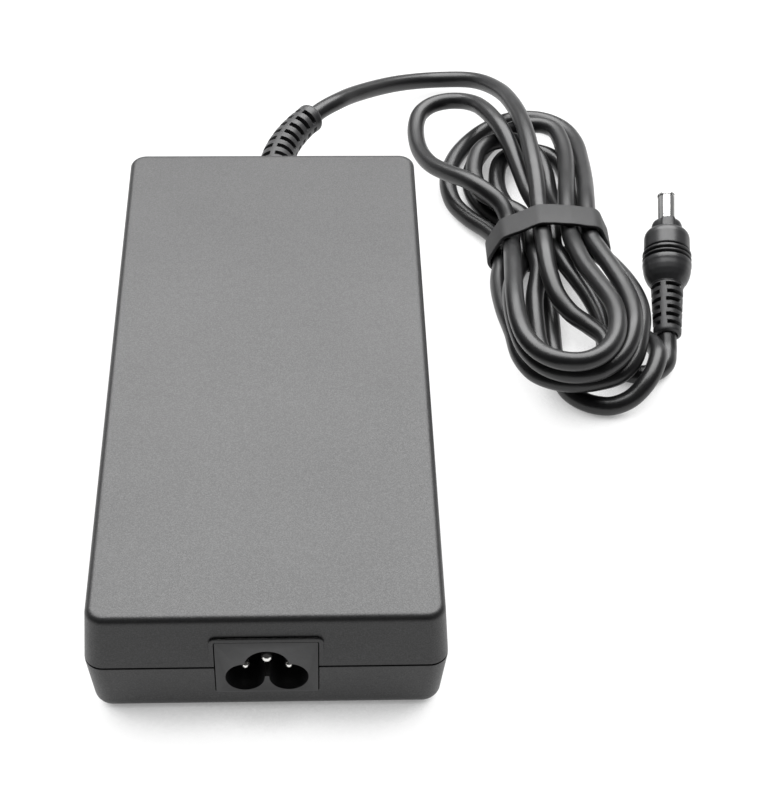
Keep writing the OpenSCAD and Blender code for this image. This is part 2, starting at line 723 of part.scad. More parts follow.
// ---------- inside: board, sheets, spreaders, pads ----------
module circuit_board() {
    color([0.12, 0.35, 0.18])
    difference() {
        translate([-board_w / 2, board_front, board_z])
            cube([board_w, board_l, board_t]);
        translate([-plate_w / 2, board_front - 1, board_z - 1])
            cube([plate_w, inlet_back + 0.4 - board_front + 1, board_t + 2]);
    }
}
module sheet(z) {
    translate([-spreader_w / 2 - 0.5, board_y - spreader_l / 2 - 1, z])
        cube([spreader_w + 1, spreader_l + 2, sheet_t]);
}
module spreader(z) {
    translate([-spreader_w / 2, board_y - spreader_l / 2, z])
        cube([spreader_w, spreader_l, spreader_t]);
}
module floor_sheet() {
    color([0.85, 0.85, 0.8])
    sheet(floor_z);
}
module floor_spreader() {
    color([0.75, 0.76, 0.78])
    spreader(floor_z + sheet_t);
}
module floor_pad() {
    z = floor_z + sheet_t + spreader_t;
    color([0.6, 0.65, 0.75])
    translate([-18, board_y - 20, z])
        cube([36, 40, board_z - z]);
}
module roof_sheet() {
    color([0.85, 0.85, 0.8])
    sheet(roof_z - sheet_t);
}
module roof_spreader() {
    color([0.75, 0.76, 0.78])
    spreader(roof_plate_z);
}
module roof_pad() {
    color([0.6, 0.65, 0.75])
    translate([trafo_x - 8, trafo_y + trafo_l / 2 - 9, top_z + tall])
        cube([16, 18, roof_plate_z - top_z - tall]);
}

// ---------- inside: components, two columns from the inlet to the cord end ----------
col_y = inlet_back + 2 + part_gap;
choke_a_y = col_y;
bridge_y = choke_a_y + choke_a_d + part_gap;
bulk_y = bridge_y + sink_t + 4.6 + part_gap;
outcap_y = bulk_y + bulk_l + part_gap;
outchoke_y = outcap_y + 3 * (outcap_d + part_gap);

film_w = 26;
film_l = 10;
choke_b_y = col_y + film_l + part_gap;
boost_y = choke_b_y + choke_b_d + part_gap;
trafo_y = boost_y + boost_l + part_gap;
trafo_x = right_x(trafo_w);
outsink_y = trafo_y + trafo_l + part_gap;
control_y = outsink_y + sink_t + 4.6 + part_gap;
mid_x = left_x(bulk_d) + bulk_d / 2 + 1.2;

module fuse() {
    color([0.75, 0.72, 0.62])
    on_board(left_x(8), board_front + 3, 8, 10, 8);
}
module surge_disc() {
    d = 11;
    color([0.15, 0.3, 0.6])
    rod_y(right_x(d), board_front + 4, top_z + d / 2, d, 5);
}
// wound ring core lying on the board
module wound_ring(x, y, d, h) {
    translate([x, y + d / 2, top_z]) {
        difference() {
            cylinder(d = d - 2, h = h);
            translate([0, 0, -1])
                cylinder(d = d * 0.42, h = h + 2);
        }
        for (a = [0 : 30 : 330])
            rotate([0, 0, a])
                translate([d * 0.36, 0, 0])
                    cylinder(d = d * 0.24, h = h + 0.8, $fn = 20);
    }
}
module mains_choke_a() {
    color([0.65, 0.4, 0.2])
    wound_ring(left_x(choke_a_d), choke_a_y, choke_a_d, 11);
}
module mains_choke_b() {
    color([0.65, 0.4, 0.2])
    wound_ring(right_x(choke_b_d), choke_b_y, choke_b_d, 10);
}
module mains_capacitor() {
    color([0.75, 0.7, 0.3])
    on_board(right_x(film_w), col_y, film_w, film_l, 14);
}
module disc_capacitor_a() {
    color([0.2, 0.4, 0.7])
    rod_y(right_x(choke_b_d) - choke_b_d / 2 - part_gap - 4, choke_b_y + 1, top_z + 4, 8, 3.6);
}
module disc_capacitor_b() {
    color([0.2, 0.4, 0.7])
    rod_y(right_x(choke_b_d) - choke_b_d / 2 - part_gap - 4, choke_b_y + 6.6, top_z + 4, 8, 3.6);
}
module bridge_sink() {
    color([0.7, 0.7, 0.72])
    on_board(left_x(24), bridge_y, 24, sink_t, tall);
}
module bridge_rectifier() {
    color([0.1, 0.1, 0.1])
    on_board(left_x(24), bridge_y + sink_t, 20, 4.6, 14);
}
module bulk_capacitor() {
    x = left_x(bulk_d);
    color([0.1, 0.12, 0.3])
    difference() {
        rod_y(x, bulk_y, top_z + bulk_d / 2, bulk_d, bulk_l);
        translate([x, bulk_y + 2.6, top_z + bulk_d / 2])
            rotate([-90, 0, 0])
                rotate_extrude()
                    translate([bulk_d / 2, 0])
                        circle(d = 1.6, $fn = 24);
    }
}
module boost_choke() {
    x = right_x(boost_w);
    color([0.2, 0.2, 0.21])
    difference() {
        on_board(x, boost_y, boost_w, boost_l, tall);
        translate([x - boost_w, boost_y + 4, top_z + 4])
            cube([2 * boost_w, boost_l - 8, tall - 8]);
    }
}
module boost_winding() {
    x = right_x(boost_w);
    color([0.8, 0.75, 0.3])
    translate([x - boost_w / 2 + 1, boost_y + 4.2, top_z + 4])
        cube([boost_w - 2, boost_l - 8.4, tall - 8]);
}
module primary_sink() {
    color([0.7, 0.7, 0.72])
    on_board(mid_x + sink_t / 2, bulk_y, sink_t, bulk_l, tall);
}
module switch_piece(y) {
    translate([mid_x + sink_t, y, top_z])
        cube([4.6, 10.2, 15]);
}
module switch_a() {
    color([0.08, 0.08, 0.08])
    switch_piece(bulk_y + 4);
}
module switch_b() {
    color([0.08, 0.08, 0.08])
    switch_piece(bulk_y + 18);
}
module transformer_core() {
    color([0.2, 0.2, 0.21])
    difference() {
        on_board(trafo_x, trafo_y, trafo_w, trafo_l, tall);
        translate([trafo_x - trafo_w, trafo_y + 4, top_z + 4.5])
            cube([2 * trafo_w, trafo_l - 8, tall - 9]);
    }
}
module transformer_winding() {
    color([0.8, 0.75, 0.3])
    translate([trafo_x - trafo_w / 2 + 1.5, trafo_y + 4.2, top_z + 4.5])
        cube([trafo_w - 3, trafo_l - 8.4, tall - 9]);
}
module output_sink() {
    color([0.7, 0.7, 0.72])
    on_board(right_x(30), outsink_y, 30, sink_t, tall);
}
module output_rectifier_a() {
    color([0.08, 0.08, 0.08])
    on_board(right_x(30) - 7, outsink_y + sink_t, 10.2, 4.6, 15);
}
module output_rectifier_b() {
    color([0.08, 0.08, 0.08])
    on_board(right_x(30) + 7, outsink_y + sink_t, 10.2, 4.6, 15);
}
module output_capacitor(i) {
    translate([left_x(outcap_d), outcap_y + outcap_d / 2 + i * (outcap_d + part_gap), top_z])
        cylinder(d = outcap_d, h = tall - 1);
}
module output_capacitor_a() {
    color([0.1, 0.12, 0.3])
    output_capacitor(0);
}
module output_capacitor_b() {
    color([0.1, 0.12, 0.3])
    output_capacitor(1);
}
module output_capacitor_c() {
    color([0.1, 0.12, 0.3])
    output_capacitor(2);
}
module output_choke() {
    color([0.25, 0.35, 0.25])
    wound_ring(left_x(outchoke_d), outchoke_y, outchoke_d, 8);
}
module control_board() {
    color([0.12, 0.35, 0.18])
    on_board(right_x(30), control_y, 30, 1.2, 13);
}
// insulated wire from the sleeve's flange down onto the board
function wire_route(sx) = [
    [sx * 2.2, back_y - wall - 0.6 - flange_t, exit_z],
    [sx * 2.2, back_y - wall - 3.2 - flange_t, exit_z],
    [sx * 2.6, back_y - wall - 7.6 - flange_t, (exit_z + top_z) / 2 + 0.7],
    [sx * 3, back_y - wall - 12 - flange_t, top_z + 1.3],
    [sx * 3, back_y - wall - 19 - flange_t, top_z + 1.3]];
function wire_curve(r) = concat(
    [for (i = [0 : len(r) - 2])
        let (
            w = root(r[i + 1] - r[i]),
            m = w * slope(point(r, i - 1), r[i], r[i + 1]),
            n = w * slope(r[i], r[i + 1], point(r, i + 2)))
        for (j = [0 : 2]) curve_at(r[i], r[i + 1], m, n, j / 3)],
    [r[len(r) - 1]]);
module output_wire_plus() {
    color([0.7, 0.1, 0.1])
    tube(wire_curve(wire_route(1)), 1.25, 8);
}
module output_wire_minus() {
    color([0.1, 0.1, 0.1])
    tube(wire_curve(wire_route(-1)), 1.25, 8);
}

upper_shell();
lower_shell();
inlet_housing();
pin_live();
pin_neutral();
pin_earth();
cord_sleeve();
cord_lead();
cord_hank();
hank_strap();
plug_grip();
plug_relief();
plug_barrel();
plug_insulator();
plug_contact();
circuit_board();
floor_sheet();
floor_spreader();
floor_pad();
roof_sheet();
roof_spreader();
roof_pad();
fuse();
surge_disc();
mains_choke_a();
mains_choke_b();
mains_capacitor();
disc_capacitor_a();
disc_capacitor_b();
bridge_rectifier();
bridge_sink();
bulk_capacitor();
boost_choke();
boost_winding();
primary_sink();
switch_a();
switch_b();
transformer_core();
transformer_winding();
output_sink();
output_rectifier_a();
output_rectifier_b();
output_capacitor_a();
output_capacitor_b();
output_capacitor_c();
output_choke();
control_board();
output_wire_plus();
output_wire_minus();
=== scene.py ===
"""Dresses the laptop power adapter: housing, inlet, cord in a hank, strap, plug, stage and camera."""
import math

import bpy
from bpy.props import FloatProperty, FloatVectorProperty, IntProperty, PointerProperty
from mathutils import Matrix, Vector


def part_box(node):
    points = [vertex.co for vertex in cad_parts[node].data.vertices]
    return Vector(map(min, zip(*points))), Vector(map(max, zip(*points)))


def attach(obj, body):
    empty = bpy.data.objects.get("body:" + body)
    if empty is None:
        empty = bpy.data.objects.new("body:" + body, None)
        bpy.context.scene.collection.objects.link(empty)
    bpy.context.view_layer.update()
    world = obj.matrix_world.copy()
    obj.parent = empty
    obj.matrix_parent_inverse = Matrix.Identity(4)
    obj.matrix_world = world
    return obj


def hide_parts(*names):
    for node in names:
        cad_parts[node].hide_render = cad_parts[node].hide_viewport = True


bl_info = {
    "name": "Laptop Power Adapter",
    "version": (1, 0, 0),
    "blender": (4, 5, 0),
    "location": "View3D > Sidebar > Adapter",
    "description": "Builds the finished surfaces, cord, plug and stage of a laptop power adapter",
    "category": "Object",
}

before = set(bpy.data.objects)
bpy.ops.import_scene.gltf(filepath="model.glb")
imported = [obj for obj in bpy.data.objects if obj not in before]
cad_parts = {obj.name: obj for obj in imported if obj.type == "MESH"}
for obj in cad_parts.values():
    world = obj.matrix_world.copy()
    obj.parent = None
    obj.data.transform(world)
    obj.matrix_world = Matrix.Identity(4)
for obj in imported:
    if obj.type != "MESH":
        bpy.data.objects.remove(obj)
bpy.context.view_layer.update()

MM = 0.001
BODY = "root"
BACK_Y = 90.0


# ---------------------------------------------------------------- sizes and colours

class HousingSettings(bpy.types.PropertyGroup):
    """Sizes and colours of the two shells"""
    width: FloatProperty(name="Width", description="Width at the seam", default=83.0 * MM, min=0.02,
                         unit="LENGTH")
    length: FloatProperty(name="Length", description="Length at the seam", default=180.0 * MM, min=0.04,
                          unit="LENGTH")
    height: FloatProperty(name="Height", description="Full height", default=31.0 * MM, min=0.01, unit="LENGTH")
    seam: FloatProperty(name="Seam", description="Height of the seam", default=16.0 * MM, min=0.004,
                        unit="LENGTH")
    seam_line: FloatProperty(name="Seam line", description="Height of the open line", default=0.35 * MM,
                             unit="LENGTH")
    seam_depth: FloatProperty(name="Seam depth", description="Depth of the open line", default=0.5 * MM,
                              unit="LENGTH")
    wall: FloatProperty(name="Wall", description="Thickness of the walls", default=2.2 * MM, min=0.0005,
                        unit="LENGTH")
    corner: FloatProperty(name="Corner", description="Radius of the upright corners", default=4.5 * MM,
                          unit="LENGTH")
    top_edge: FloatProperty(name="Top edge", description="Rounding around the top", default=1.8 * MM,
                            unit="LENGTH")
    low_edge: FloatProperty(name="Bottom edge", description="Rounding below", default=3.2 * MM, unit="LENGTH")
    upper_draft: FloatProperty(name="Upper draft", description="Draft of the upper walls", subtype="ANGLE",
                               default=math.radians(3.6))
    lower_draft: FloatProperty(name="Lower draft", description="Draft of the lower walls", subtype="ANGLE",
                               default=math.radians(4.4))
    colour: FloatVectorProperty(name="Plastic", description="Colour of the moulded plastic", subtype="COLOR",
                                size=3, min=0, max=1, default=(0.013, 0.013, 0.0135))
    roughness: FloatProperty(name="Roughness", description="Roughness of the moulded plastic", default=0.42,
                             min=0, max=1, subtype="FACTOR")


class InletSettings(bpy.types.PropertyGroup):
    """Sizes and colour of the mains inlet"""
    plate_width: FloatProperty(name="Plate width", description="Width of the plate", default=23.4 * MM,
                               unit="LENGTH")
    plate_height: FloatProperty(name="Plate height", description="Height of the plate", default=17.2 * MM,
                                unit="LENGTH")
    plate_z: FloatProperty(name="Plate foot", description="Height of its lower edge", default=6.8 * MM,
                           unit="LENGTH")
    pin_up: FloatProperty(name="Pins", description="Height of the lower pins above the plate's foot",
                          default=5.25 * MM, unit="LENGTH")
    pin_pitch: FloatProperty(name="Pin spacing", description="Distance between the lower pins",
                             default=10.0 * MM, unit="LENGTH")
    lobe: FloatProperty(name="Lower lobes", description="Radius of the lower lobes", default=4.5 * MM,
                        unit="LENGTH")
    upper_lobe: FloatProperty(name="Upper lobe", description="Radius of the upper lobe", default=5.2 * MM,
                              unit="LENGTH")
    upper_lobe_up: FloatProperty(name="Upper lobe's rise", description="Height above the lower lobes",
                                 default=3.75 * MM, unit="LENGTH")
    socket: FloatProperty(name="Socket", description="Depth of the socket", default=12.0 * MM, unit="LENGTH")
    gap: FloatProperty(name="Gap", description="Clearance around the plate", default=0.25 * MM, unit="LENGTH")
    pad_width: FloatProperty(name="Pad width", description="Width of the pad around it", default=26.0 * MM,
                             unit="LENGTH")
    pad_up: FloatProperty(name="Pad above", description="Height of the pad above the plate",
                          default=1.4 * MM, unit="LENGTH")
    colour: FloatVectorProperty(name="Plastic", description="Colour of the plate", subtype="COLOR",
                                size=3, min=0, max=1, default=(0.02, 0.02, 0.021))


class CordSettings(bpy.types.PropertyGroup):
    """Sizes and colour of the output cord"""
    diameter: FloatProperty(name="Diameter", description="Diameter of the cord", default=5.2 * MM,
                            unit="LENGTH")
    steps: IntProperty(name="Steps", description="Points between two route points", default=7, min=1)
    colour: FloatVectorProperty(name="Jacket", description="Colour of the vinyl jacket", subtype="COLOR",
                                size=3, min=0, max=1, default=(0.009, 0.009, 0.0095))
    roughness: FloatProperty(name="Roughness", description="Roughness of the jacket", default=0.34,
                             min=0, max=1, subtype="FACTOR")


class SleeveSettings(bpy.types.PropertyGroup):
    """Sizes and colour of the bend-relief sleeve"""
    base: FloatProperty(name="Base", description="Diameter at the housing", default=10.8 * MM, unit="LENGTH")
    tip: FloatProperty(name="Tip", description="Diameter before the end collar", default=8.8 * MM,
                       unit="LENGTH")
    collar: FloatProperty(name="Collar", description="Diameter of the end collar", default=9.0 * MM,
                          unit="LENGTH")
    rows: IntProperty(name="Rows", description="Number of slot rows", default=10, min=1)
    first: FloatProperty(name="First row", description="Distance from the wall to the first slots",
                         default=1.6 * MM, unit="LENGTH")
    pitch: FloatProperty(name="Pitch", description="Distance between slot rows", default=4.0 * MM,
                         unit="LENGTH")
    slot: FloatProperty(name="Slot", description="Width of a slot", default=1.9 * MM, unit="LENGTH")
    deep: FloatProperty(name="Depth", description="Depth of a slot", default=1.5 * MM, unit="LENGTH")
    colour: FloatVectorProperty(name="Vinyl", description="Colour of the sleeve", subtype="COLOR",
                                size=3, min=0, max=1, default=(0.022, 0.022, 0.023))


class StrapSettings(bpy.types.PropertyGroup):
    """Sizes and colour of the strap around the hank"""
    width: FloatProperty(name="Width", description="Width of the strap", default=9.0 * MM, unit="LENGTH")
    thickness: FloatProperty(name="Thickness", description="Thickness of the strap", default=1.05 * MM,
                             unit="LENGTH")
    gap: FloatProperty(name="Gap", description="Clearance around the cord", default=0.3 * MM, unit="LENGTH")
    rib: FloatProperty(name="Ribs", description="Distance between its fine ribs", default=0.55 * MM,
                       unit="LENGTH")
    colour: FloatVectorProperty(name="Rubber", description="Colour of the strap", subtype="COLOR",
                                size=3, min=0, max=1, default=(0.02, 0.02, 0.0205))


class PlugSettings(bpy.types.PropertyGroup):
    """Sizes and colours of the barrel plug"""
    grip: FloatProperty(name="Grip", description="Diameter of the grip", default=13.1 * MM, unit="LENGTH")
    ring: FloatProperty(name="Rings", description="Diameter over the rings", default=14.0 * MM,
                        unit="LENGTH")
    collar: FloatProperty(name="Collar", description="Diameter of the front collar", default=8.8 * MM,
                          unit="LENGTH")
    rib: FloatProperty(name="Rib", description="Height of the rib on the collar", default=0.2 * MM,
                       unit="LENGTH")
    barrel: FloatProperty(name="Barrel", description="Diameter of the barrel", default=5.5 * MM,
                          unit="LENGTH")
    barrel_length: FloatProperty(name="Barrel length", description="Length of the barrel", default=9.3 * MM,
                                 unit="LENGTH")
    colour: FloatVectorProperty(name="Grip plastic", description="Colour of the grip", subtype="COLOR",
                                size=3, min=0, max=1, default=(0.019, 0.019, 0.02))
    relief_colour: FloatVectorProperty(name="Relief vinyl", description="Colour of the relief",
                                       subtype="COLOR", size=3, min=0, max=1, default=(0.02, 0.02, 0.021))
    plating: FloatVectorProperty(name="Plating", description="Colour of the barrel's plating",
                                 subtype="COLOR", size=3, min=0, max=1, default=(0.86, 0.86, 0.85))


class StageSettings(bpy.types.PropertyGroup):
    """Light, floor and camera"""
    key_power: FloatProperty(name="Key light", description="Power of the large rear softbox, in W",
                             default=56.0, min=0, unit="POWER")
    floor_glow: FloatProperty(name="Floor", description="Light that the floor adds of itself",
                              default=0.95, min=0)
    lens: FloatProperty(name="Lens", description="Focal length of the camera", default=90.21,
                        unit="CAMERA")


class Millimetres:
    """The values of a property group, with its lengths in millimetres"""

    def __init__(self, group):
        for name in type(group).__annotations__:
            value = getattr(group, name)
            if group.bl_rna.properties[name].unit == "LENGTH":
                value = round(value / MM, 4)
            setattr(self, name, value)


# ---------------------------------------------------------------- materials

class Value:
    """A number socket of a node tree, used in ordinary arithmetic"""

    def __init__(self, tree, socket):
        self.tree = tree
        self.socket = socket

    def _math(self, operation, first, second):
        return self.tree.value("ShaderNodeMath", {"operation": operation}, {0: first, 1: second})

    def __add__(self, other):
        return self._math("ADD", self, other)

    def __radd__(self, other):
        return self._math("ADD", other, self)

    def __sub__(self, other):
        return self._math("SUBTRACT", self, other)

    def __rsub__(self, other):
        return self._math("SUBTRACT", other, self)

    def __mul__(self, other):
        return self._math("MULTIPLY", self, other)

    def __rmul__(self, other):
        return self._math("MULTIPLY", other, self)

    def __pow__(self, other):
        return self._math("POWER", self, other)

    def least(self, other):
        return self._math("MINIMUM", self, other)

    def sine(self):
        return self._math("SINE", self, 0.0)

    def smooth(self, low, high):
        """0 below low, 1 above high, with a soft step between"""
        return self.tree.value("ShaderNodeMapRange", {"interpolation_type": "SMOOTHSTEP"},
                               {"Value": self, "From Min": low, "From Max": high})


class Tree:
    """The node tree of a material or world"""

    def __init__(self, owner):
        owner.use_nodes = True
        self.nodes = owner.node_tree.nodes
        self.links = owner.node_tree.links
        self.nodes.clear()

    def node(self, kind, settings, sockets):
        """Adds a node, gives it its settings, then fills or links its sockets"""
        node = self.nodes.new(kind)
        for name, setting in settings.items():
            setattr(node, name, setting)
        for name, given in sockets.items():
            socket = node.inputs[name]
            if isinstance(given, Value):
                self.links.new(given.socket, socket)
            elif isinstance(given, bpy.types.NodeSocket):
                self.links.new(given, socket)
            else:
                socket.default_value = given
        return node

    def value(self, kind, settings, sockets, output=0):
        """Adds a node and gives one of its outputs as a value"""
        return Value(self, self.node(kind, settings, sockets).outputs[output])


class Finish(Tree):
    """A material built from a Principled shader and its nodes"""

    def __init__(self, name, **fixed):
        self.material = bpy.data.materials.new(name)
        super().__init__(self.material)
        self.shader = self.node("ShaderNodeBsdfPrincipled", {},
                                {socket.replace("_", " "): number for socket, number in fixed.items()})
        self.node("ShaderNodeOutputMaterial", {}, {"Surface": self.shader.outputs[0]})
        self.point = self.node("ShaderNodeTexCoord", {}, {}).outputs["Object"]

    def axis(self, index):
        return self.value("ShaderNodeSeparateXYZ", {}, {0: self.point}, index)

    def noise(self, size, detail=2.0, roughness=0.5, stretch=None):
        """Noise whose features are about size millimetres across"""
        vector = self.point
        if stretch:
            vector = self.node("ShaderNodeVectorMath", {"operation": "MULTIPLY"},
                               {0: self.point, 1: stretch}).outputs[0]
        return self.value("ShaderNodeTexNoise", {}, {
            "Vector": vector, "Scale": 1 / (size * MM), "Detail": detail, "Roughness": roughness})

    def cells(self, size):
        return self.value("ShaderNodeTexVoronoi", {}, {"Vector": self.point, "Scale": 1 / (size * MM)},
                          "Distance")

    def colour(self, first, second, factor):
        mix = self.node("ShaderNodeMix", {"data_type": "RGBA"},
                        {"Factor": factor, 6: (*first, 1.0), 7: (*second, 1.0)})
        self.links.new(mix.outputs[2], self.shader.inputs["Base Color"])

    def rough(self, value):
        self.links.new(value.socket, self.shader.inputs["Roughness"])

    def coat(self, weight, roughness):
        self.links.new(weight.socket, self.shader.inputs["Coat Weight"])
        self.shader.inputs["Coat Roughness"].default_value = roughness

    def relief(self, height, depth):
        """Bump of a height from 0 to 1 that stands for depth millimetres"""
        bump = self.node("ShaderNodeBump", {}, {"Height": height, "Distance": depth * MM})
        self.links.new(bump.outputs[0], self.shader.inputs["Normal"])

    def put_on(self, obj):
        obj.data.materials.clear()
        obj.data.materials.append(self.material)


def shade(colour, factor):
    """A colour made lighter or darker"""
    return tuple(min(1.0, channel * factor) for channel in colour)


def grained(name, colour, roughness, grain=0.35, depth=0.012, sparkle=0.0, **fixed):
    """Spark-eroded moulded plastic: a fine grain, faint mottling and glints of some weight"""
    finish = Finish(name, **fixed)
    if sparkle:
        finish.coat(finish.noise(grain * 0.6, 2.0).smooth(0.35, 0.75) * sparkle, 0.4)
    fine = finish.noise(grain, 3.0, 0.65)
    middle = finish.noise(grain * 3.2, 2.0)
    broad = finish.noise(34.0, 3.0)
    finish.colour(shade(colour, 0.75), shade(colour, 1.25), middle)
    finish.rough((fine - 0.5) * 0.22 + (broad - 0.5) * 0.07 + roughness)
    finish.relief(fine * 0.6 + middle * 0.4, depth)
    return finish


def vinyl(name, colour, roughness):
    """Extruded or moulded soft vinyl: satin, a little wavy, with faint wiped dust"""
    finish = Finish(name)
    fine = finish.noise(0.3, 2.0)
    wave = finish.noise(5.0, 2.0)
    dust = finish.noise(11.0, 4.0, 0.6).smooth(0.5, 0.8)
    finish.colour(colour, shade(colour, 1.9), dust * 0.5)
    finish.rough((wave - 0.5) * 0.12 + (fine - 0.5) * 0.08 + dust * 0.08 + roughness)
    finish.relief(fine * 0.25 + wave * 0.75, 0.05)
    return finish


def turned(name, colour, roughness, direction):
    """Plated metal with fine turning marks across a direction"""
    finish = Finish(name, Metallic=1.0)
    along = tuple(abs(part) * 26.0 + 0.6 for part in direction)
    marks = finish.noise(6.0, 3.0, 0.6, along)
    cloud = finish.noise(2.2, 2.0)
    finish.colour(shade(colour, 0.9), colour, cloud)
    finish.rough((marks - 0.5) * 0.1 + (cloud - 0.5) * 0.08 + roughness)
    finish.relief(marks, 0.004)
    return finish


def drawn(name, colour, roughness, metallic, size, depth, stretch=None):
    """Plain workshop finish with grain of a given size, for the parts inside"""
    finish = Finish(name, Metallic=metallic)
    grain = finish.noise(size, 3.0, 0.6, stretch)
    cloud = finish.noise(size * 9.0, 2.0)
    finish.colour(shade(colour, 0.8), shade(colour, 1.2), grain * 0.6 + cloud * 0.4)
    finish.rough((grain - 0.5) * 0.2 + (cloud - 0.5) * 0.1 + roughness)
    finish.relief(grain, depth)
    return finish


def wound(name, colour, roughness, metallic, pitch, axis):
    """Turns of wire or tape laid side by side along an axis, with painted shade in the grooves between them"""
    finish = Finish(name, Metallic=metallic)
    turns = (finish.axis(axis) * (2 * math.pi / (pitch * MM))).sine() * 0.5 + 0.5
    uneven = finish.noise(3.0, 2.0)
    # colour darkest where the turns sink between each other: painted shade in the grooves
    finish.colour(shade(colour, 0.45), shade(colour, 1.1), turns * 0.8 + uneven * 0.2)
    finish.rough((uneven - 0.5) * 0.2 + roughness)
    finish.relief(turns, 0.15)
    return finish


def ribbed(name, colour, roughness, pitch):
    """Rubber strap: fine ribs along its length, dull, with faint clouds"""
    finish = Finish(name, Specular_IOR_Level=0.42)
    ribs = (finish.axis(1) * (2 * math.pi / (pitch * MM))).sine() * 0.5 + 0.5
    fine = finish.noise(0.25, 3.0, 0.6)
    broad = finish.noise(7.0, 3.0)
    finish.colour(colour, shade(colour, 1.7), fine * 0.5 + broad * 0.5)
    finish.rough((fine - 0.5) * 0.15 + (broad - 0.5) * 0.12 + roughness)
    finish.relief(ribs * 0.35 + fine * 0.65, 0.03)
    return finish


def laminate(name, colour):
    """Circuit board: solder mask over a glass weave"""
    finish = Finish(name)
    thread = 9000.0
    weave = (finish.axis(0) * thread).sine() * (finish.axis(1) * thread).sine() * 0.5 + 0.5
    tracks = finish.cells(4.0).smooth(0.3, 0.36)
    finish.colour(shade(colour, 0.7), shade(colour, 1.35), tracks * 0.7 + weave * 0.3)
    finish.rough((weave - 0.5) * 0.1 + 0.34)
    finish.relief(tracks * 0.7 + weave * 0.3, 0.03)
    return finish


# ---------------------------------------------------------------- mesh helpers

def add_mesh(name, points, faces, angle=32.0):
    """Makes an object of a mesh in millimetres, smooth up to a given edge angle"""
    mesh = bpy.data.meshes.new(name)
    mesh.from_pydata([Vector(point) * MM for point in points], [], faces)
    mesh.validate()
    soften(mesh, angle)
    obj = bpy.data.objects.new(name, mesh)
    bpy.context.scene.collection.objects.link(obj)
    return obj


def soften(mesh, angle):
    """Shades a mesh smooth, with sharp edges above an angle in degrees"""
    mesh.polygons.foreach_set("use_smooth", [True] * len(mesh.polygons))
    mesh.set_sharp_from_angle(angle=math.radians(angle))
    mesh.update()


def skin(rings, joined=False):
    """Points and faces of rings of equally many points, capped or joined end to end"""
    count = len(rings[0])
    total = len(rings)
    points = [point for ring in rings for point in ring]
    faces = []
    for i in range(total if joined else total - 1):
        j = (i + 1) % total
        for k in range(count):
            n = (k + 1) % count
            faces.append((i * count + k, i * count + n, j * count + n, j * count + k))
    if not joined:
        faces += [tuple(reversed(range(count))), tuple(range((total - 1) * count, total * count))]
    return points, faces


def flipped(faces):
    """The same faces, looking the other way"""
    return [tuple(reversed(face)) for face in faces]


def rounded_ring(half_w, half_l, radius, z, steps=10, guard=0.4):
    """Ring of a rounded rectangle, with a guard point on either side of each corner"""
    ring = []
    for quarter, (sx, sy) in enumerate(((1, 1), (-1, 1), (-1, -1), (1, -1))):
        cx = sx * (half_w - radius)
        cy = sy * (half_l - radius)
        start = quarter * math.pi / 2
        arc = [(cx + radius * math.cos(start + step * math.pi / 2 / steps),
                cy + radius * math.sin(start + step * math.pi / 2 / steps)) for step in range(steps + 1)]
        before = (arc[0][0] + guard * math.sin(start), arc[0][1] - guard * math.cos(start))
        after = (arc[-1][0] - guard * math.cos(start), arc[-1][1] - guard * math.sin(start))
        ring += [(x, y, z) for x, y in [before] + arc + [after]]
    return ring


def dress(piece, finish, node):
    """Gives a piece its finish and body, and hides the node that it stands for"""
    finish.put_on(piece)
    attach(piece, BODY)
    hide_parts(node)


def prism(name, outline, y0, y1):
    """Block of an outline of (x, z) points, from y0 to y1"""
    count = len(outline)
    points = [(x, y0, z) for x, z in outline] + [(x, y1, z) for x, z in outline]
    faces = [tuple(range(count)), tuple(reversed(range(count, 2 * count)))]
    faces += [(k, k + count, (k + 1) % count + count, (k + 1) % count) for k in range(count)]
    return add_mesh(name, points, faces)


def rounded_outline(x0, z0, x1, z1, radius, steps=8):
    """Rectangle with round corners, as (x, z) points"""
    corners = ((x1 - radius, z1 - radius, 0), (x0 + radius, z1 - radius, 90),
               (x0 + radius, z0 + radius, 180), (x1 - radius, z0 + radius, 270))
    return [(cx + radius * math.cos(math.radians(start + 90.0 * step / steps)),
             cz + radius * math.sin(math.radians(start + 90.0 * step / steps)))
            for cx, cz, start in corners for step in range(steps + 1)]


def circle_outline(x, z, radius, first=0.0, last=360.0, steps=64):
    """Circle, or an arc of it closed by its chord, as (x, z) points"""
    full = last - first >= 360.0
    count = steps if full else steps + 1
    return [(x + radius * math.cos(math.radians(first + (last - first) * k / steps)),
             z + radius * math.sin(math.radians(first + (last - first) * k / steps))) for k in range(count)]


def carve(obj, joined=(), cutters=(), bevel=0.0, segments=3, angle=32.0):
    """Joins pieces to an object, cuts others out of it, rounds its sharp edges and keeps the result"""
    for operation, pieces in (("UNION", joined), ("DIFFERENCE", cutters)):
        for piece in pieces:
            step = obj.modifiers.new(operation.lower(), "BOOLEAN")
            step.operation = operation
            step.solver = "EXACT"
            step.object = piece
    if bevel:
        step = obj.modifiers.new("edge", "BEVEL")
        step.width = bevel * MM
        step.segments = segments
        step.limit_method = "ANGLE"
        step.angle_limit = math.radians(40.0)
        step.harden_normals = False
    graph = bpy.context.evaluated_depsgraph_get()
    shape = bpy.data.meshes.new_from_object(obj.evaluated_get(graph))
    obj.modifiers.clear()
    obj.data = shape
    soften(shape, angle)
    for piece in (*joined, *cutters):
        bpy.data.objects.remove(piece)
    return obj


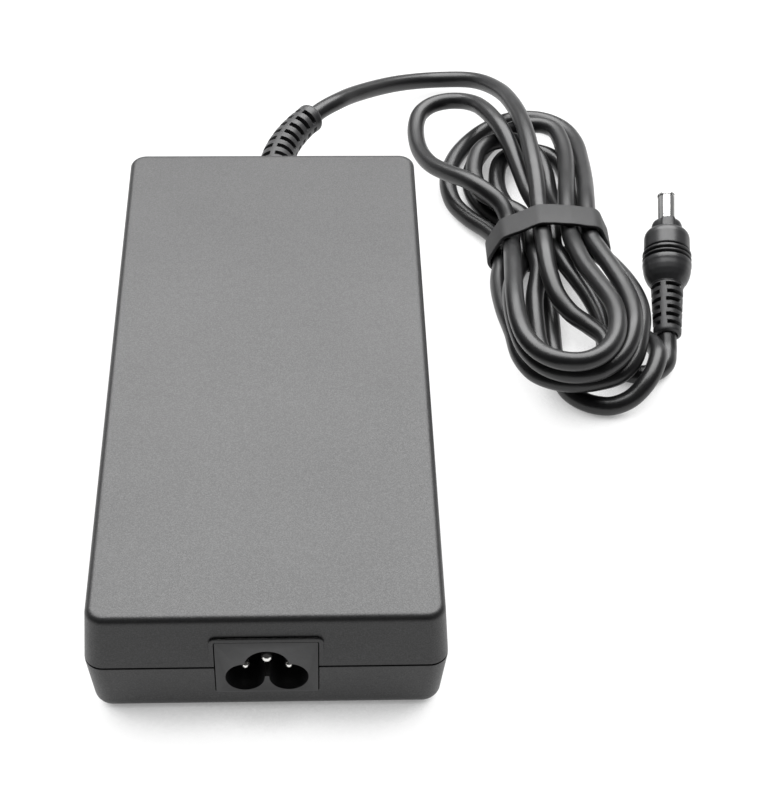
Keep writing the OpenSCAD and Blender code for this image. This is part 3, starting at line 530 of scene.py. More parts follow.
def softened_profile(profile, radius, steps=3):
    """Rounds the inner corners of a line of (radius, station) points"""
    result = [profile[0]]
    for before, here, after in zip(profile, profile[1:], profile[2:]):
        a = Vector(before) - Vector(here)
        b = Vector(after) - Vector(here)
        reach = min(radius, a.length * 0.45, b.length * 0.45)
        start = Vector(here) + a.normalized() * reach
        end = Vector(here) + b.normalized() * reach
        for step in range(steps + 1):
            t = step / steps
            result.append(tuple(start * (1 - t) ** 2 + Vector(here) * 2 * t * (1 - t) + end * t ** 2))
    result.append(profile[-1])
    return result


def lathe(name, profile, place, segments=96, angle=32.0, reach=None):
    """Turned piece of a line of (radius, station) points; reach(turn, radius, station) may widen it"""
    rings = []
    for radius, station in profile:
        ring = []
        for k in range(segments):
            turn = 2 * math.pi * k / segments
            r = max(reach(turn, radius, station) if reach else radius, 0.01)
            ring.append(place @ Vector((r * math.cos(turn), r * math.sin(turn), station)))
        rings.append(ring)
    points, faces = skin(rings)
    return add_mesh(name, points, faces, angle)


def notch(x, low, high, lip):
    """1 between low and high, falling to 0 over a lip at either side"""
    t = min(max(min(x - low, high - x) / lip, 0.0), 1.0)
    return t * t * (3 - 2 * t)


def stations(low, high, step, spans, lip):
    """Even stations, and close ones at the sides of each span"""
    count = max(1, round((high - low) / step))
    marks = [low + (high - low) * k / count for k in range(count + 1)]
    for start, end in spans:
        for side, inward in ((start, 1), (end, -1)):
            marks += [side + inward * lip * share for share in (0.0, 0.35, 0.65, 1.0)]
    kept = []
    for mark in sorted(m for m in marks if low <= m <= high):
        if not kept or mark - kept[-1] > lip * 0.12:
            kept.append(mark)
    return kept


# ---------------------------------------------------------------- routes

def centripetal(route, steps, floor):
    """Smooth curve through a route, never below a height"""
    route = [Vector(point) for point in route]
    ends = [2 * route[0] - route[1]] + route + [2 * route[-1] - route[-2]]
    curve = []
    for before, here, there, after in zip(ends, ends[1:], ends[2:], ends[3:]):
        a = (here - before).length ** 0.5
        b = (there - here).length ** 0.5
        c = (after - there).length ** 0.5
        m = b * ((here - before) / a - (there - before) / (a + b) + (there - here) / b)
        n = b * ((there - here) / b - (after - here) / (b + c) + (after - there) / c)
        for step in range(steps):
            t = step / steps
            point = ((2 * t ** 3 - 3 * t ** 2 + 1) * here + (t ** 3 - 2 * t ** 2 + t) * m
                     + (3 * t ** 2 - 2 * t ** 3) * there + (t ** 3 - t ** 2) * n)
            curve.append(Vector((point.x, point.y, max(point.z, floor))))
    curve.append(route[-1])
    return curve


EXIT_Z = 15.5
SLEEVE_START = 8.0
SLEEVE_BEND = 51.5
SLEEVE_ANGLE = math.radians(39.0)
SLEEVE_LENGTH = SLEEVE_START + SLEEVE_BEND * SLEEVE_ANGLE


def sleeve_frame(s):
    """Point and heading of the bend-relief sleeve at a distance from the wall"""
    turn = max(0.0, s - SLEEVE_START) / SLEEVE_BEND
    point = Vector((SLEEVE_BEND * (1 - math.cos(turn)),
                    BACK_Y + min(s, SLEEVE_START) + SLEEVE_BEND * math.sin(turn), EXIT_Z))
    return point, Vector((math.sin(turn), math.cos(turn), 0.0))


PLUG_END = Vector((110.4, 38.0, 4.6))
PLUG_TURN = math.radians(5.0)
PLUG_TILT = math.radians(21.0)
PLUG_HEADING = Vector((math.sin(PLUG_TURN) * math.cos(PLUG_TILT),
                       math.cos(PLUG_TURN) * math.cos(PLUG_TILT), math.sin(PLUG_TILT)))
RELIEF_LENGTH = 15.7
GRIP_LENGTH = 18.1
COLLAR_LENGTH = 3.3

# Middle of the strap, half the straight run there, and each strand's place (x, z) in it
WAIST_Y = 77.0
WAIST_RUN = 4.5
DOWN_1 = (77.8, 14.3)
UP_1 = (75.5, 9)
DOWN_2 = (88, 8.2)
UP_2 = (78.5, 4.1)
DOWN_3 = (94, 7.8)
UP_3 = (66.4, 4.1)
DOWN_4 = (91.8, 13.1)
UP_4 = (72.3, 4.1)
DOWN_5 = (85.8, 14)
UP_5 = (69.1, 9.8)
DOWN_6 = (81.5, 9.1)


def down(strand):
    """Straight run through the strap towards the front, at a strand's place (x, z)"""
    return [(strand[0], WAIST_Y + WAIST_RUN, strand[1]), (strand[0], WAIST_Y - WAIST_RUN, strand[1])]


def up(strand):
    """Straight run through the strap towards the rear"""
    return list(reversed(down(strand)))


def cord_routes(diameter):
    """Route of the free lead and route of the hank, in millimetres"""
    tip, heading = sleeve_frame(SLEEVE_LENGTH)
    lead_end = (DOWN_1[0], WAIST_Y + WAIST_RUN + diameter, DOWN_1[1] + 0.4)
    lead = [tip, tip + diameter * heading,
            (19, 139.2, 15), (25, 147.2, 12.6), (39.5, 161.8, 7), (54, 168.5, 4), (64, 165, 6),
            (70.8, 153.5, 10.2), (74.4, 138, 14.6), (76.4, 122, 17.2), (77.4, 106, 17.4),
            (DOWN_1[0], 94, 16.2), lead_end]
    hank = [lead_end] + down(DOWN_1) + [
        (77.7, 64, 14.6), (78.2, 55, 13.4), (80, 47.5, 11.4), (83.6, 42, 9.5), (88, 38, 8.6),
        (91.5, 33.4, 8.5), (92.2, 29, 8.5), (91, 24.6, 8.5), (87.5, 21.2, 8.5), (82.8, 20, 8.5),
        (78.1, 21.2, 8.5), (74.7, 24.7, 8.5), (73.4, 29.6, 8.5), (73.2, 38, 8.5), (73.8, 50, 8.6),
        (76.2, 63.5, 8.9),
    ] + up(UP_1) + [
        (73.6, 88.5, 8.8), (68, 94.5, 8.5), (62.4, 100.5, 8.5), (60.6, 108.5, 8.5), (61.2, 116, 8.5),
        (63.2, 122.2, 8.5), (67, 126.2, 8.5), (72.4, 127.6, 8.5), (77.6, 126, 7.6), (81.4, 122, 5.8),
        (83.2, 116.4, 4), (83.8, 106, 3.2), (85.4, 94, 5.2),
    ] + down(DOWN_2) + [
        (90.2, 66, 5.8), (94.6, 59.4, 3.9), (99.6, 52, 3.6), (102.8, 44.5, 4), (103.3, 38, 4.8),
        (105.4, 31.6, 6.8), (105.6, 25, 8.5), (102.4, 17.4, 7), (97, 12.8, 3.8), (91, 11.2, 2.6),
        (85.5, 12.6, 2.6), (81, 16.8, 2.6), (78.7, 24, 2.6), (78.2, 34, 2.6), (78.6, 46, 2.6),
        (78.8, 60, 3),
    ] + up(UP_2) + [
        (76.6, 90.5, 3), (71.6, 98, 2.6), (68.4, 108, 2.6), (68.6, 118.6, 2.6), (70.3, 124.6, 2.6),
        (74, 128.4, 2.6), (79.1, 129.8, 2.6), (84.2, 128.4, 2.6), (87.9, 124.6, 2.6), (89.6, 118.6, 2.6),
        (90.2, 106, 2.6), (92, 93.5, 4.4),
    ] + down(DOWN_3) + [
        (96.9, 65.5, 9), (100.3, 57, 9.7), (102.4, 47.5, 10.6), (102.6, 38.5, 11.1), (100.9, 30, 11),
        (98.8, 23.2, 9.4), (94.2, 17.6, 8.4), (88, 15, 8.3), (82.5, 14.2, 8.3), (77, 15.2, 8.2),
        (71.4, 18.8, 8), (68, 26, 7.8), (66.8, 37, 7.1), (65.2, 50, 5.4), (64.9, 63, 4.1),
    ] + up(UP_3) + [
        (63.4, 88, 3.6), (58.2, 95, 3), (54.2, 103, 2.6), (53, 114, 2.6), (55, 124, 2.6),
        (59.5, 133, 2.6), (66.5, 141.5, 2.6), (76, 147.5, 2.6), (85, 147.2, 2.6), (91, 142, 3),
        (94, 133, 4), (94.4, 120, 6), (93.8, 105, 9), (92.6, 92, 12.1),
    ] + down(DOWN_4) + [
        (93.8, 64, 13.9), (96.3, 54.5, 14.8), (98.4, 45, 15.5), (99.2, 36, 16.1), (98.3, 27.5, 16.2),
        (95.6, 20.5, 14.9), (91.8, 16, 14.1), (87, 12.9, 13.8), (82, 11.8, 13.8), (77, 12.8, 13.8),
        (72.5, 16, 13.7), (69, 22, 13.6), (67.2, 30.5, 13.5), (66.6, 40, 13), (67.2, 51, 11.4),
        (69.7, 62.5, 7.6),
    ] + up(UP_4) + [
        (70.4, 88.5, 3), (64.8, 96.5, 2.6), (60.8, 106, 2.6), (60, 116, 2.6), (62.5, 125, 2.6),
        (67.2, 133, 3.2), (72.6, 137, 4.8), (78.4, 138.4, 6.4), (83.6, 137, 7.7), (87.2, 133.2, 8.5),
        (88.6, 127, 9), (89, 117, 9.8), (88, 104, 11.4), (86.6, 92, 13.4),
    ] + down(DOWN_5) + [
        (86.4, 64, 15.6), (88, 55, 16.6), (90.8, 45, 17.9), (93.3, 35.5, 19.1), (93.6, 27, 19.7),
        (92, 19.5, 19.7), (88.4, 13.8, 19.6), (83, 10.6, 19.5), (77, 10.8, 19.5), (71.8, 14.2, 19.4),
        (68.4, 20, 19.4), (66.8, 28, 19.4), (66.6, 38, 19.1), (67.2, 49, 17.8), (68, 60.5, 15.6),
    ] + up(UP_5) + [
        (67.2, 88, 12.7), (63, 92.6, 14.5), (58, 97.6, 14.8), (52.2, 104.5, 12.8), (47.6, 112, 10.5),
        (44.8, 121, 8.7), (43.8, 130, 8), (44.2, 137.6, 8), (45.8, 143, 8.2), (49.4, 146.6, 8.8),
        (54.4, 147.9, 9.4), (59.4, 146.4, 10.4), (63, 142.6, 11.8), (65.4, 137.4, 13.2),
        (67.6, 131.5, 14.1), (69.6, 125.5, 14.5), (72, 117.5, 13.2), (74.2, 107.5, 11.4),
        (76.4, 98, 9.8), (79.8, 88.5, 8.9),
    ] + down(DOWN_6) + [
        (83.8, 66, 8.7), (86.8, 59, 8.2), (89.8, 51.5, 7.6), (92, 44.5, 6.2), (92.8, 38.5, 3.8),
        (92.8, 32.6, 2.7), (94, 28.3, 2.6), (97.1, 25.2, 2.6), (101.4, 24, 2.6), (105.7, 25.2, 2.6),
        (108.8, 28.4, 2.6),
        PLUG_END - diameter * PLUG_HEADING, PLUG_END]
    return lead, hank


def cord_line(settings):
    """Points of the whole cord, from the sleeve to the plug, in millimetres"""
    lead, hank = cord_routes(settings.diameter)
    floor = settings.diameter / 2
    return centripetal(lead, settings.steps, floor)[:-1] + centripetal(hank, settings.steps, floor)


def plug_place():
    """Matrix from the plug's own frame, +Z along it, to the frame, in millimetres"""
    side = PLUG_HEADING.cross(Vector((0, 0, 1))).normalized()
    top = side.cross(PLUG_HEADING).normalized()
    turn = Matrix((side, top, PLUG_HEADING)).transposed()
    return Matrix.Translation(PLUG_END) @ turn.to_4x4()


# ---------------------------------------------------------------- operators

CAMERA_AT = (0.01073, -0.38663, 0.36761)
CAMERA_YAW, CAMERA_PITCH, CAMERA_ROLL = (math.radians(angle) for angle in (3.052, 42.269, 1.623))


class ADAPTER_OT_camera(bpy.types.Operator):
    """Sets the camera in front of and above the adapter"""
    bl_idname = "adapter.camera"
    bl_label = "Camera"

    def execute(self, context):
        ahead = Vector((math.sin(CAMERA_YAW), math.cos(CAMERA_YAW), 0.0)) * math.cos(CAMERA_PITCH)
        forward = ahead - Vector((0.0, 0.0, math.sin(CAMERA_PITCH)))
        level = Vector((math.cos(CAMERA_YAW), -math.sin(CAMERA_YAW), 0.0))
        above = level.cross(forward)
        right = level * math.cos(CAMERA_ROLL) + above * math.sin(CAMERA_ROLL)
        top = above * math.cos(CAMERA_ROLL) - level * math.sin(CAMERA_ROLL)
        data = bpy.data.cameras.new("camera")
        data.lens = context.scene.adapter_stage.lens
        data.sensor_width = 36.0
        data.clip_start = 0.01
        camera = bpy.data.objects.new("camera", data)
        camera.matrix_world = (Matrix.Translation(CAMERA_AT)
                               @ Matrix((right, top, -forward)).transposed().to_4x4())
        context.scene.collection.objects.link(camera)
        context.scene.camera = camera
        return {"FINISHED"}


class ADAPTER_OT_cord(bpy.types.Operator):
    """Makes the output cord, its free lead and its hank in one length"""
    bl_idname = "adapter.cord"
    bl_label = "Cord"

    def execute(self, context):
        settings = Millimetres(context.scene.adapter_cord)
        line = cord_line(settings)
        curve = bpy.data.curves.new("output_cord", "CURVE")
        curve.dimensions = "3D"
        curve.bevel_depth = settings.diameter / 2 * MM
        curve.bevel_resolution = 8
        curve.use_fill_caps = True
        spline = curve.splines.new("POLY")
        spline.points.add(len(line) - 1)
        for point, place in zip(spline.points, line):
            point.co = (*(place * MM), 1.0)
        spline.use_smooth = True
        cord = bpy.data.objects.new("output_cord", curve)
        context.scene.collection.objects.link(cord)
        vinyl("cord_jacket", settings.colour, settings.roughness).put_on(cord)
        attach(cord, BODY)
        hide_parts("cord_lead", "cord_hank")
        return {"FINISHED"}


class ADAPTER_OT_housing(bpy.types.Operator):
    """Makes the upper and lower shells with their seam, windows and rounded edges"""
    bl_idname = "adapter.housing"
    bl_label = "Housing"

    def edge(self, corner, draft, radius, seam, end):
        """Insets, corners and heights of the drafted wall and its rounded edge, from the seam to the end"""
        way = 1.0 if end > seam else -1.0
        inset = abs(end - seam) * math.tan(draft)
        centre = end - way * radius
        foot = (inset + radius * (1 - math.cos(draft)), centre + way * radius * math.sin(draft))
        levels = [(0.1, corner - 0.1, seam), (0.0, corner, seam + way * 0.12), (0.02, corner, seam + way * 0.5),
                  (foot[0] * 0.96, corner, seam + (foot[1] - seam) * 0.96)]
        steps = 9
        for step in range(steps + 1):
            angle = draft + (math.pi / 2 - draft) * step / steps
            drop = radius * (1 - math.cos(angle))
            levels.append((inset + drop, corner - drop, centre + way * radius * math.sin(angle)))
        levels.append((inset + radius + 0.4, corner - radius, end))
        return levels

    def shell(self, name, settings, levels, turned_over):
        """Closed skin through rounded rectangles of given insets, corners and heights"""
        rings = [rounded_ring(settings.width / 2 - inset, settings.length / 2 - inset, corner, z)
                 for inset, corner, z in levels]
        points, faces = skin(rings)
        return add_mesh(name, points, flipped(faces) if turned_over else faces)

    def pad(self, settings, inlet, front, head):
        """Raised pad around the inlet, on the upper shell's front wall alone"""
        side = inlet.pad_width / 2
        edge, radius, reach = 0.28, 1.6, 20.0
        pad = prism("pad", rounded_outline(-side, settings.seam - 4, side, head + inlet.pad_up, radius),
                    front + 0.02, front + settings.wall - 0.4)
        carve(pad, bevel=edge)
        below = rounded_outline(-reach, settings.seam - 8, reach, settings.seam + 0.1, 0.5)
        return carve(pad, cutters=[prism("cut_pad", below, front - 2, front + 5)])

    def openings(self, inlet, front, head):
        """Cutters for the inlet's window and the cord's hole"""
        half = inlet.plate_width / 2 + inlet.gap
        foot = inlet.plate_z - inlet.gap
        window_depth, corner, exit_radius = 6.2, 0.5, 4.45
        window = rounded_outline(-half, foot, half, head + inlet.gap, corner)
        return [prism("cut_window", window, front - 2, front + window_depth),
                prism("cut_exit", circle_outline(0, EXIT_Z, exit_radius), BACK_Y - 8, BACK_Y + 4)]

    def execute(self, context):
        settings = Millimetres(context.scene.adapter_housing)
        inlet = Millimetres(context.scene.adapter_inlet)
        seam, wall, corner = settings.seam, settings.wall, settings.corner
        roof = settings.height - wall
        low_seam = seam - settings.seam_line
        tall = abs(roof - seam) * math.tan(settings.upper_draft)
        deep = abs(seam - wall) * math.tan(settings.lower_draft)
        inside = corner - wall
        lip = wall / 2 - 0.05
        tongue = wall / 2 + 0.1
        step = settings.seam_depth

        outer = self.edge(corner, settings.upper_draft, settings.top_edge, seam, settings.height)
        inner = [(wall + tall + 0.4, inside, roof), (wall + tall, inside, roof), (wall, inside, seam + 2.0),
                 (lip, corner - wall / 2, seam + 1.9), (lip, corner - wall / 2, seam)]
        upper = self.shell("housing_top", settings, outer[::-1] + inner[::-1], True)

        outer = self.edge(corner, settings.lower_draft, settings.low_edge, low_seam, 0.0)
        inner = [(step, corner - step, low_seam), (step, corner - step, seam), (tongue, corner - tongue, seam),
                 (tongue, corner - tongue, seam + 1.4), (wall, inside, seam + 1.4), (wall, inside, seam),
                 (wall + deep, inside, wall), (wall + deep + 0.4, inside, wall)]
        lower = self.shell("housing_base", settings, outer[::-1] + inner, False)

        front = -settings.length / 2
        head = inlet.plate_z + inlet.plate_height
        carve(upper, [self.pad(settings, inlet, front, head)], self.openings(inlet, front, head))
        carve(lower, cutters=self.openings(inlet, front, head))
        plastic = grained("housing_plastic", settings.colour, settings.roughness, 0.5, 0.06, 0.3,
                          Specular_IOR_Level=0.43)
        dress(upper, plastic, "upper_shell")
        dress(lower, plastic, "lower_shell")
        return {"FINISHED"}


class ADAPTER_OT_inlet(bpy.types.Operator):
    """Makes the inlet's plate and three-lobed socket, and plates its pins"""
    bl_idname = "adapter.inlet"
    bl_label = "Inlet"

    def execute(self, context):
        settings = Millimetres(context.scene.adapter_inlet)
        low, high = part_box("inlet_housing")
        face, back = low[1] / MM, high[1] / MM
        half = settings.plate_width / 2
        foot = settings.plate_z
        top = foot + settings.plate_height
        pin_z = foot + settings.pin_up
        lobe_z = pin_z + settings.upper_lobe_up
        notch_z = pin_z + 0.25
        thick = 4.4
        plate = prism("inlet_plate", rounded_outline(-half, foot, half, top, 0.4), face, face + thick)
        proud, lean = 0.14, 0.24
        for vertex in plate.data.vertices:
            if vertex.co.y < (face + 1) * MM:
                vertex.co.y -= (proud + lean * (vertex.co.z / MM - foot) / settings.plate_height) * MM
        body = prism("inlet_box", rounded_outline(-half + 0.6, foot + 0.05, half - 0.6, top - 0.6, 0.5),
                     face + 3.0, back)
        side = settings.pin_pitch / 2
        start = math.degrees(math.asin((notch_z - lobe_z) / settings.upper_lobe))
        lobes = (circle_outline(-side, pin_z, settings.lobe), circle_outline(side, pin_z, settings.lobe),
                 circle_outline(0.0, lobe_z, settings.upper_lobe, start, 180.0 - start, 48))
        cutters = [prism("cut_lobe", lobe, face - 1, face + settings.socket) for lobe in lobes]
        carve(plate, [body], cutters, bevel=0.12, segments=2, angle=30.0)
        dress(plate, grained("inlet_plastic", settings.colour, 0.38, 0.4, 0.008), "inlet_housing")
        pins = turned("plated_pin", (0.86, 0.85, 0.82), 0.22, (0.0, 1.0, 0.0))
        for node in ("pin_live", "pin_neutral", "pin_earth"):
            pins.put_on(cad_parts[node])
        return {"FINISHED"}


class ADAPTER_OT_sleeve(bpy.types.Operator):
    """Makes the slotted bend-relief sleeve at the cord exit"""
    bl_idname = "adapter.sleeve"
    bl_label = "Bend-relief sleeve"

    def execute(self, context):
        settings = Millimetres(context.scene.adapter_sleeve)
        rows = [settings.first + settings.pitch * k for k in range(settings.rows)]
        slots = [(row, row + settings.slot) for row in rows]
        half, side_lip, lip = math.radians(37), math.radians(4), 0.22
        arcs = [(math.radians(column) - half, math.radians(column) + half) for column in (55, 145, 235, 325)]
        around = stations(math.radians(10), math.radians(370), math.radians(2.5), arcs, side_lip)[:-1]
        end = SLEEVE_LENGTH
        collar, edge = 2.6, 1.2
        up_way = Vector((0, 0, 1))
        rings = []
        wall, _ = sleeve_frame(0.0)
        for y, radius in ((-4.8, 5.9), (-4.6, 6.2), (-3.0, 6.2), (-2.8, 6.0), (-2.8, 4.3), (0.14, 4.3)):
            rings.append([wall + Vector((radius * math.cos(a), y, radius * math.sin(a))) for a in around])
        for s in stations(0.15, end, 0.4, slots + [(end - 1.4, end - 0.1)], lip):
            radius = (settings.base + (settings.tip - settings.base) * min(1.0, s / (end - collar))) / 2
            radius += notch(s, end - collar, end + 5.0, 0.5) * (settings.collar - settings.tip) / 2
            if s > end - edge:
                radius -= edge - math.sqrt(max(0.0, edge ** 2 - (s - end + edge) ** 2))
            if s < 0.6:
                radius -= 0.4 * (1 - (s - 0.15) / 0.45)
            deep = settings.deep * max(notch(s, start, stop, lip) for start, stop in slots)
            point, heading = sleeve_frame(s)
            side = heading.cross(up_way)
            ring = []
            for a in around:
                slotted = radius - deep * max(notch(a, start, stop, side_lip) for start, stop in arcs)
                ring.append(point + slotted * (math.cos(a) * side + math.sin(a) * up_way))
            rings.append(ring)
        points, faces = skin(rings)
        sleeve = add_mesh("bend_sleeve", points, flipped(faces), 38.0)
        dress(sleeve, vinyl("sleeve_vinyl", settings.colour, 0.42), "cord_sleeve")
        return {"FINISHED"}


class ADAPTER_OT_strap(bpy.types.Operator):
    """Makes the flat strap around the waist of the hank"""
    bl_idname = "adapter.strap"
    bl_label = "Strap"

    def hull(self, dots):
        """Convex outline of flat points, counterclockwise"""
        dots = sorted(set(dots))

        def chain(items):
            kept = []
            for dot in items:
                while len(kept) > 1:
                    (ax, az), (bx, bz) = kept[-2], kept[-1]
                    if (bx - ax) * (dot[1] - az) - (bz - az) * (dot[0] - ax) > 0:
                        break
                    kept.pop()
                kept.append(dot)
            return kept[:-1]
        return chain(dots) + chain(list(reversed(dots)))

    def loop(self, settings, cord, count):
        """Evenly spaced (x, z) points of the strap's inner side"""
        line = centripetal(cord_routes(cord.diameter)[1], 10, cord.diameter / 2)
        reach = cord.diameter / 2 + settings.gap + 0.05
        near = [p for p in line if abs(p.y - WAIST_Y) < settings.width / 2 + 0.8]
        turns = [math.radians(angle) for angle in range(0, 360, 6)]
        dots = [(round(p.x + reach * math.cos(a), 4), round(p.z + reach * math.sin(a), 4))
                for p in near for a in turns]
        outline = [Vector(dot) for dot in self.hull(dots)]
        lengths = [(b - a).length for a, b in zip(outline, outline[1:] + outline[:1])]
        even, index, used = [], 0, 0.0
        for k in range(count):
            target = sum(lengths) * k / count
            while used + lengths[index] < target:
                used += lengths[index]
                index += 1
            a, b = outline[index], outline[(index + 1) % len(outline)]
            even.append(a.lerp(b, (target - used) / lengths[index]))
        return even

    def section(self, settings, corner=0.32, steps=4):
        """Rounded section of the strap, as (y, height above the cord) points"""
        side, low, high = settings.width / 2 - corner, corner, settings.thickness - corner
        return [(y + corner * math.cos(math.radians(start + 90 * k / steps)),
                 h + corner * math.sin(math.radians(start + 90 * k / steps)))
                for y, h, start in ((side, high, 0), (-side, high, 90), (-side, low, 180), (side, low, 270))
                for k in range(steps + 1)]

    def execute(self, context):
        settings = Millimetres(context.scene.adapter_strap)
        count = 260
        even = self.loop(settings, Millimetres(context.scene.adapter_cord), count)
        section = self.section(settings)
        rings = []
        for k, dot in enumerate(even):
            ahead, behind = even[(k + 3) % count], even[k - 3]
            tangent = (ahead - behind).normalized()
            normal = Vector((tangent.y, -tangent.x))
            sway = 0.12 * math.sin(k * 0.11) + 0.07 * math.sin(k * 0.31 + 1.0)
            rings.append([(dot.x + normal.x * h, WAIST_Y + y + sway, dot.y + normal.y * h) for y, h in section])
        points, faces = skin(rings, joined=True)
        strap = add_mesh("hank_band", points, faces, 50.0)
        dress(strap, ribbed("strap_rubber", settings.colour, 0.6, settings.rib), "hank_strap")
        return {"FINISHED"}


class ADAPTER_OT_plug(bpy.types.Operator):
    """Makes the plug's grip, slotted relief, barrel and contacts"""
    bl_idname = "adapter.plug"
    bl_label = "Plug"

    def relief(self, place):
        """Tapered relief with rows of slots, every other row turned"""
        first, last, rim = 3.9, 4.6, 0.7
        start, pitch, slot, deep = 1.95, 2.4, 1.25, 1.15
        lip, side_lip = 0.2, math.radians(5)
        rows = [(start + pitch * k, start + pitch * k + slot) for k in range(6)]
        columns = [(math.radians(low), math.radians(high), rows[parity::2]) for parity, arcs in (
            (0, ((-10, 98), (125, 233))), (1, ((38, 102), (121, 185), (208, 280), (303, 375))))
            for low, high in arcs]
        arcs = [(low % (2 * math.pi), high % (2 * math.pi)) for low, high, _ in columns]
        marks = stations(0.0, 2 * math.pi, math.radians(2.5), arcs, side_lip)[:-1]

        def ring(radius, s, depth):
            """Points around the relief, sunk where a slot crosses them"""
            points = []
            for a in marks:
                share = 0.0
                for low, high, spans in columns:
                    side = max(notch(a + 2 * math.pi * turn, low, high, side_lip) for turn in (-1, 0, 1))
                    if side:
                        share = max(share, side * max(notch(s, near, far, lip) for near, far in spans))
                slotted = radius - depth * share
                points.append(place @ Vector((slotted * math.cos(a), slotted * math.sin(a), s)))
            return points

        rings = [ring(radius, s, 0.0) for radius, s in ((2.62, 1.2), (2.75, 0.35), (2.95, 0.05))]
        for s in stations(0.0, RELIEF_LENGTH, 0.35, rows, lip):
            radius = first + (last - first) * s / RELIEF_LENGTH
            if s < rim:
                radius -= rim - math.sqrt(max(0.0, rim ** 2 - (rim - s) ** 2))
            rings.append(ring(radius, s, deep))
        points, faces = skin(rings)
        return add_mesh("plug_sleeve", points, faces, 38.0)

    def grip(self, settings, place):
        """Grip with three ring grooves and a collar, as one turned piece with a low rib"""
        r, ring, collar = settings.grip / 2, settings.ring / 2, settings.collar / 2
        bore = settings.barrel / 2 + 0.05
        z1 = RELIEF_LENGTH
        z2 = z1 + GRIP_LENGTH
        end = z2 + COLLAR_LENGTH
        groove = 0.8
        profile = [(0.0, z1), (4.75, z1), (4.75, z1 + 0.25), (5.75, z1 + 1.7), (r - 0.15, z1 + 3.2),
                   (r + 0.17, z1 + 4.6), (r + 0.3, z1 + 5.8), (ring, z1 + 6.5), (ring, z1 + 7.7)]
        for start, land, after in ((7.7, 1.4, ring), (9.1, 1.6, ring - 0.02), (10.7, 1.6, r + 0.03)):
            z = z1 + start
            profile += [(ring - groove, z + 0.08), (ring - groove, z + groove - 0.08), (after, z + groove),
                        (after, z + land)]
        profile += [(r, z2 - 3.4), (r, z2 - 2.4), (r - 0.2, z2 - 1.4), (r - 0.65, z2 - 0.6),
                    (r - 1.5, z2 - 0.1), (collar + 0.1, z2), (collar - 0.05, z2 + 0.3), (collar, z2 + 0.6),
                    (collar, end - 1.4), (collar - 0.3, end - 0.5), (collar - 1.1, end), (bore, end),
                    (bore, end - 3.0), (0.0, end - 3.0)]

        def rib(turn, radius, station):
            """Low rib along the top of the collar"""
            if radius < collar - 0.6 or not z2 - 0.1 < station < end - 0.3:
                return radius
            share = notch(turn, math.radians(58), math.radians(122), math.radians(12))
            return max(radius, radius + (collar + settings.rib - radius) * share)
        return lathe("plug_body", softened_profile(profile, 0.28), place, 128, 36.0, rib)

    def shaft(self, settings, place):
        """Barrel with its rolled rim and bore"""
        end = RELIEF_LENGTH + GRIP_LENGTH + COLLAR_LENGTH
        tip = end + settings.barrel_length
        outer = settings.barrel / 2
        slim, bore, sunk, floor = outer - 0.18, outer - 0.5, end - 6.0, end - 4.0
        profile = [(0.0, sunk), (slim, sunk), (slim, tip - 0.95), (outer, tip - 0.8), (outer, tip - 0.2),
                   (outer - 0.2, tip), (outer - 0.42, tip), (bore, tip - 0.2), (bore, floor), (0.0, floor)]
        return lathe("plug_shaft", softened_profile(profile, 0.12), place, 96, 40.0)

    def execute(self, context):
        settings = Millimetres(context.scene.adapter_plug)
        place = plug_place()
        along = tuple(PLUG_HEADING)
        dress(self.grip(settings, place), grained("plug_plastic", settings.colour, 0.36, 0.3, 0.006),
              "plug_grip")
        dress(self.relief(place), vinyl("relief_vinyl", settings.relief_colour, 0.42), "plug_relief")
        dress(self.shaft(settings, place), turned("nickel_plate", settings.plating, 0.2, along),
              "plug_barrel")
        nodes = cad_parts
        grained("insulator_plastic", (0.018, 0.018, 0.018), 0.5).put_on(nodes["plug_insulator"])
        turned("contact_plate", (0.83, 0.7, 0.42), 0.25, along).put_on(nodes["plug_contact"])
        return {"FINISHED"}


class ADAPTER_OT_declare(bpy.types.Operator):
    """Works out the cord's length and the point where it leaves the sleeve, and keeps neither"""
    bl_idname = "adapter.declare"
    bl_label = "Declare cord"

    def execute(self, context):
        settings = Millimetres(context.scene.adapter_cord)
        line = cord_line(settings)
        length = sum((b - a).length for a, b in zip(line, line[1:]))
        tuple(line[0] * MM)
        return {"FINISHED"}


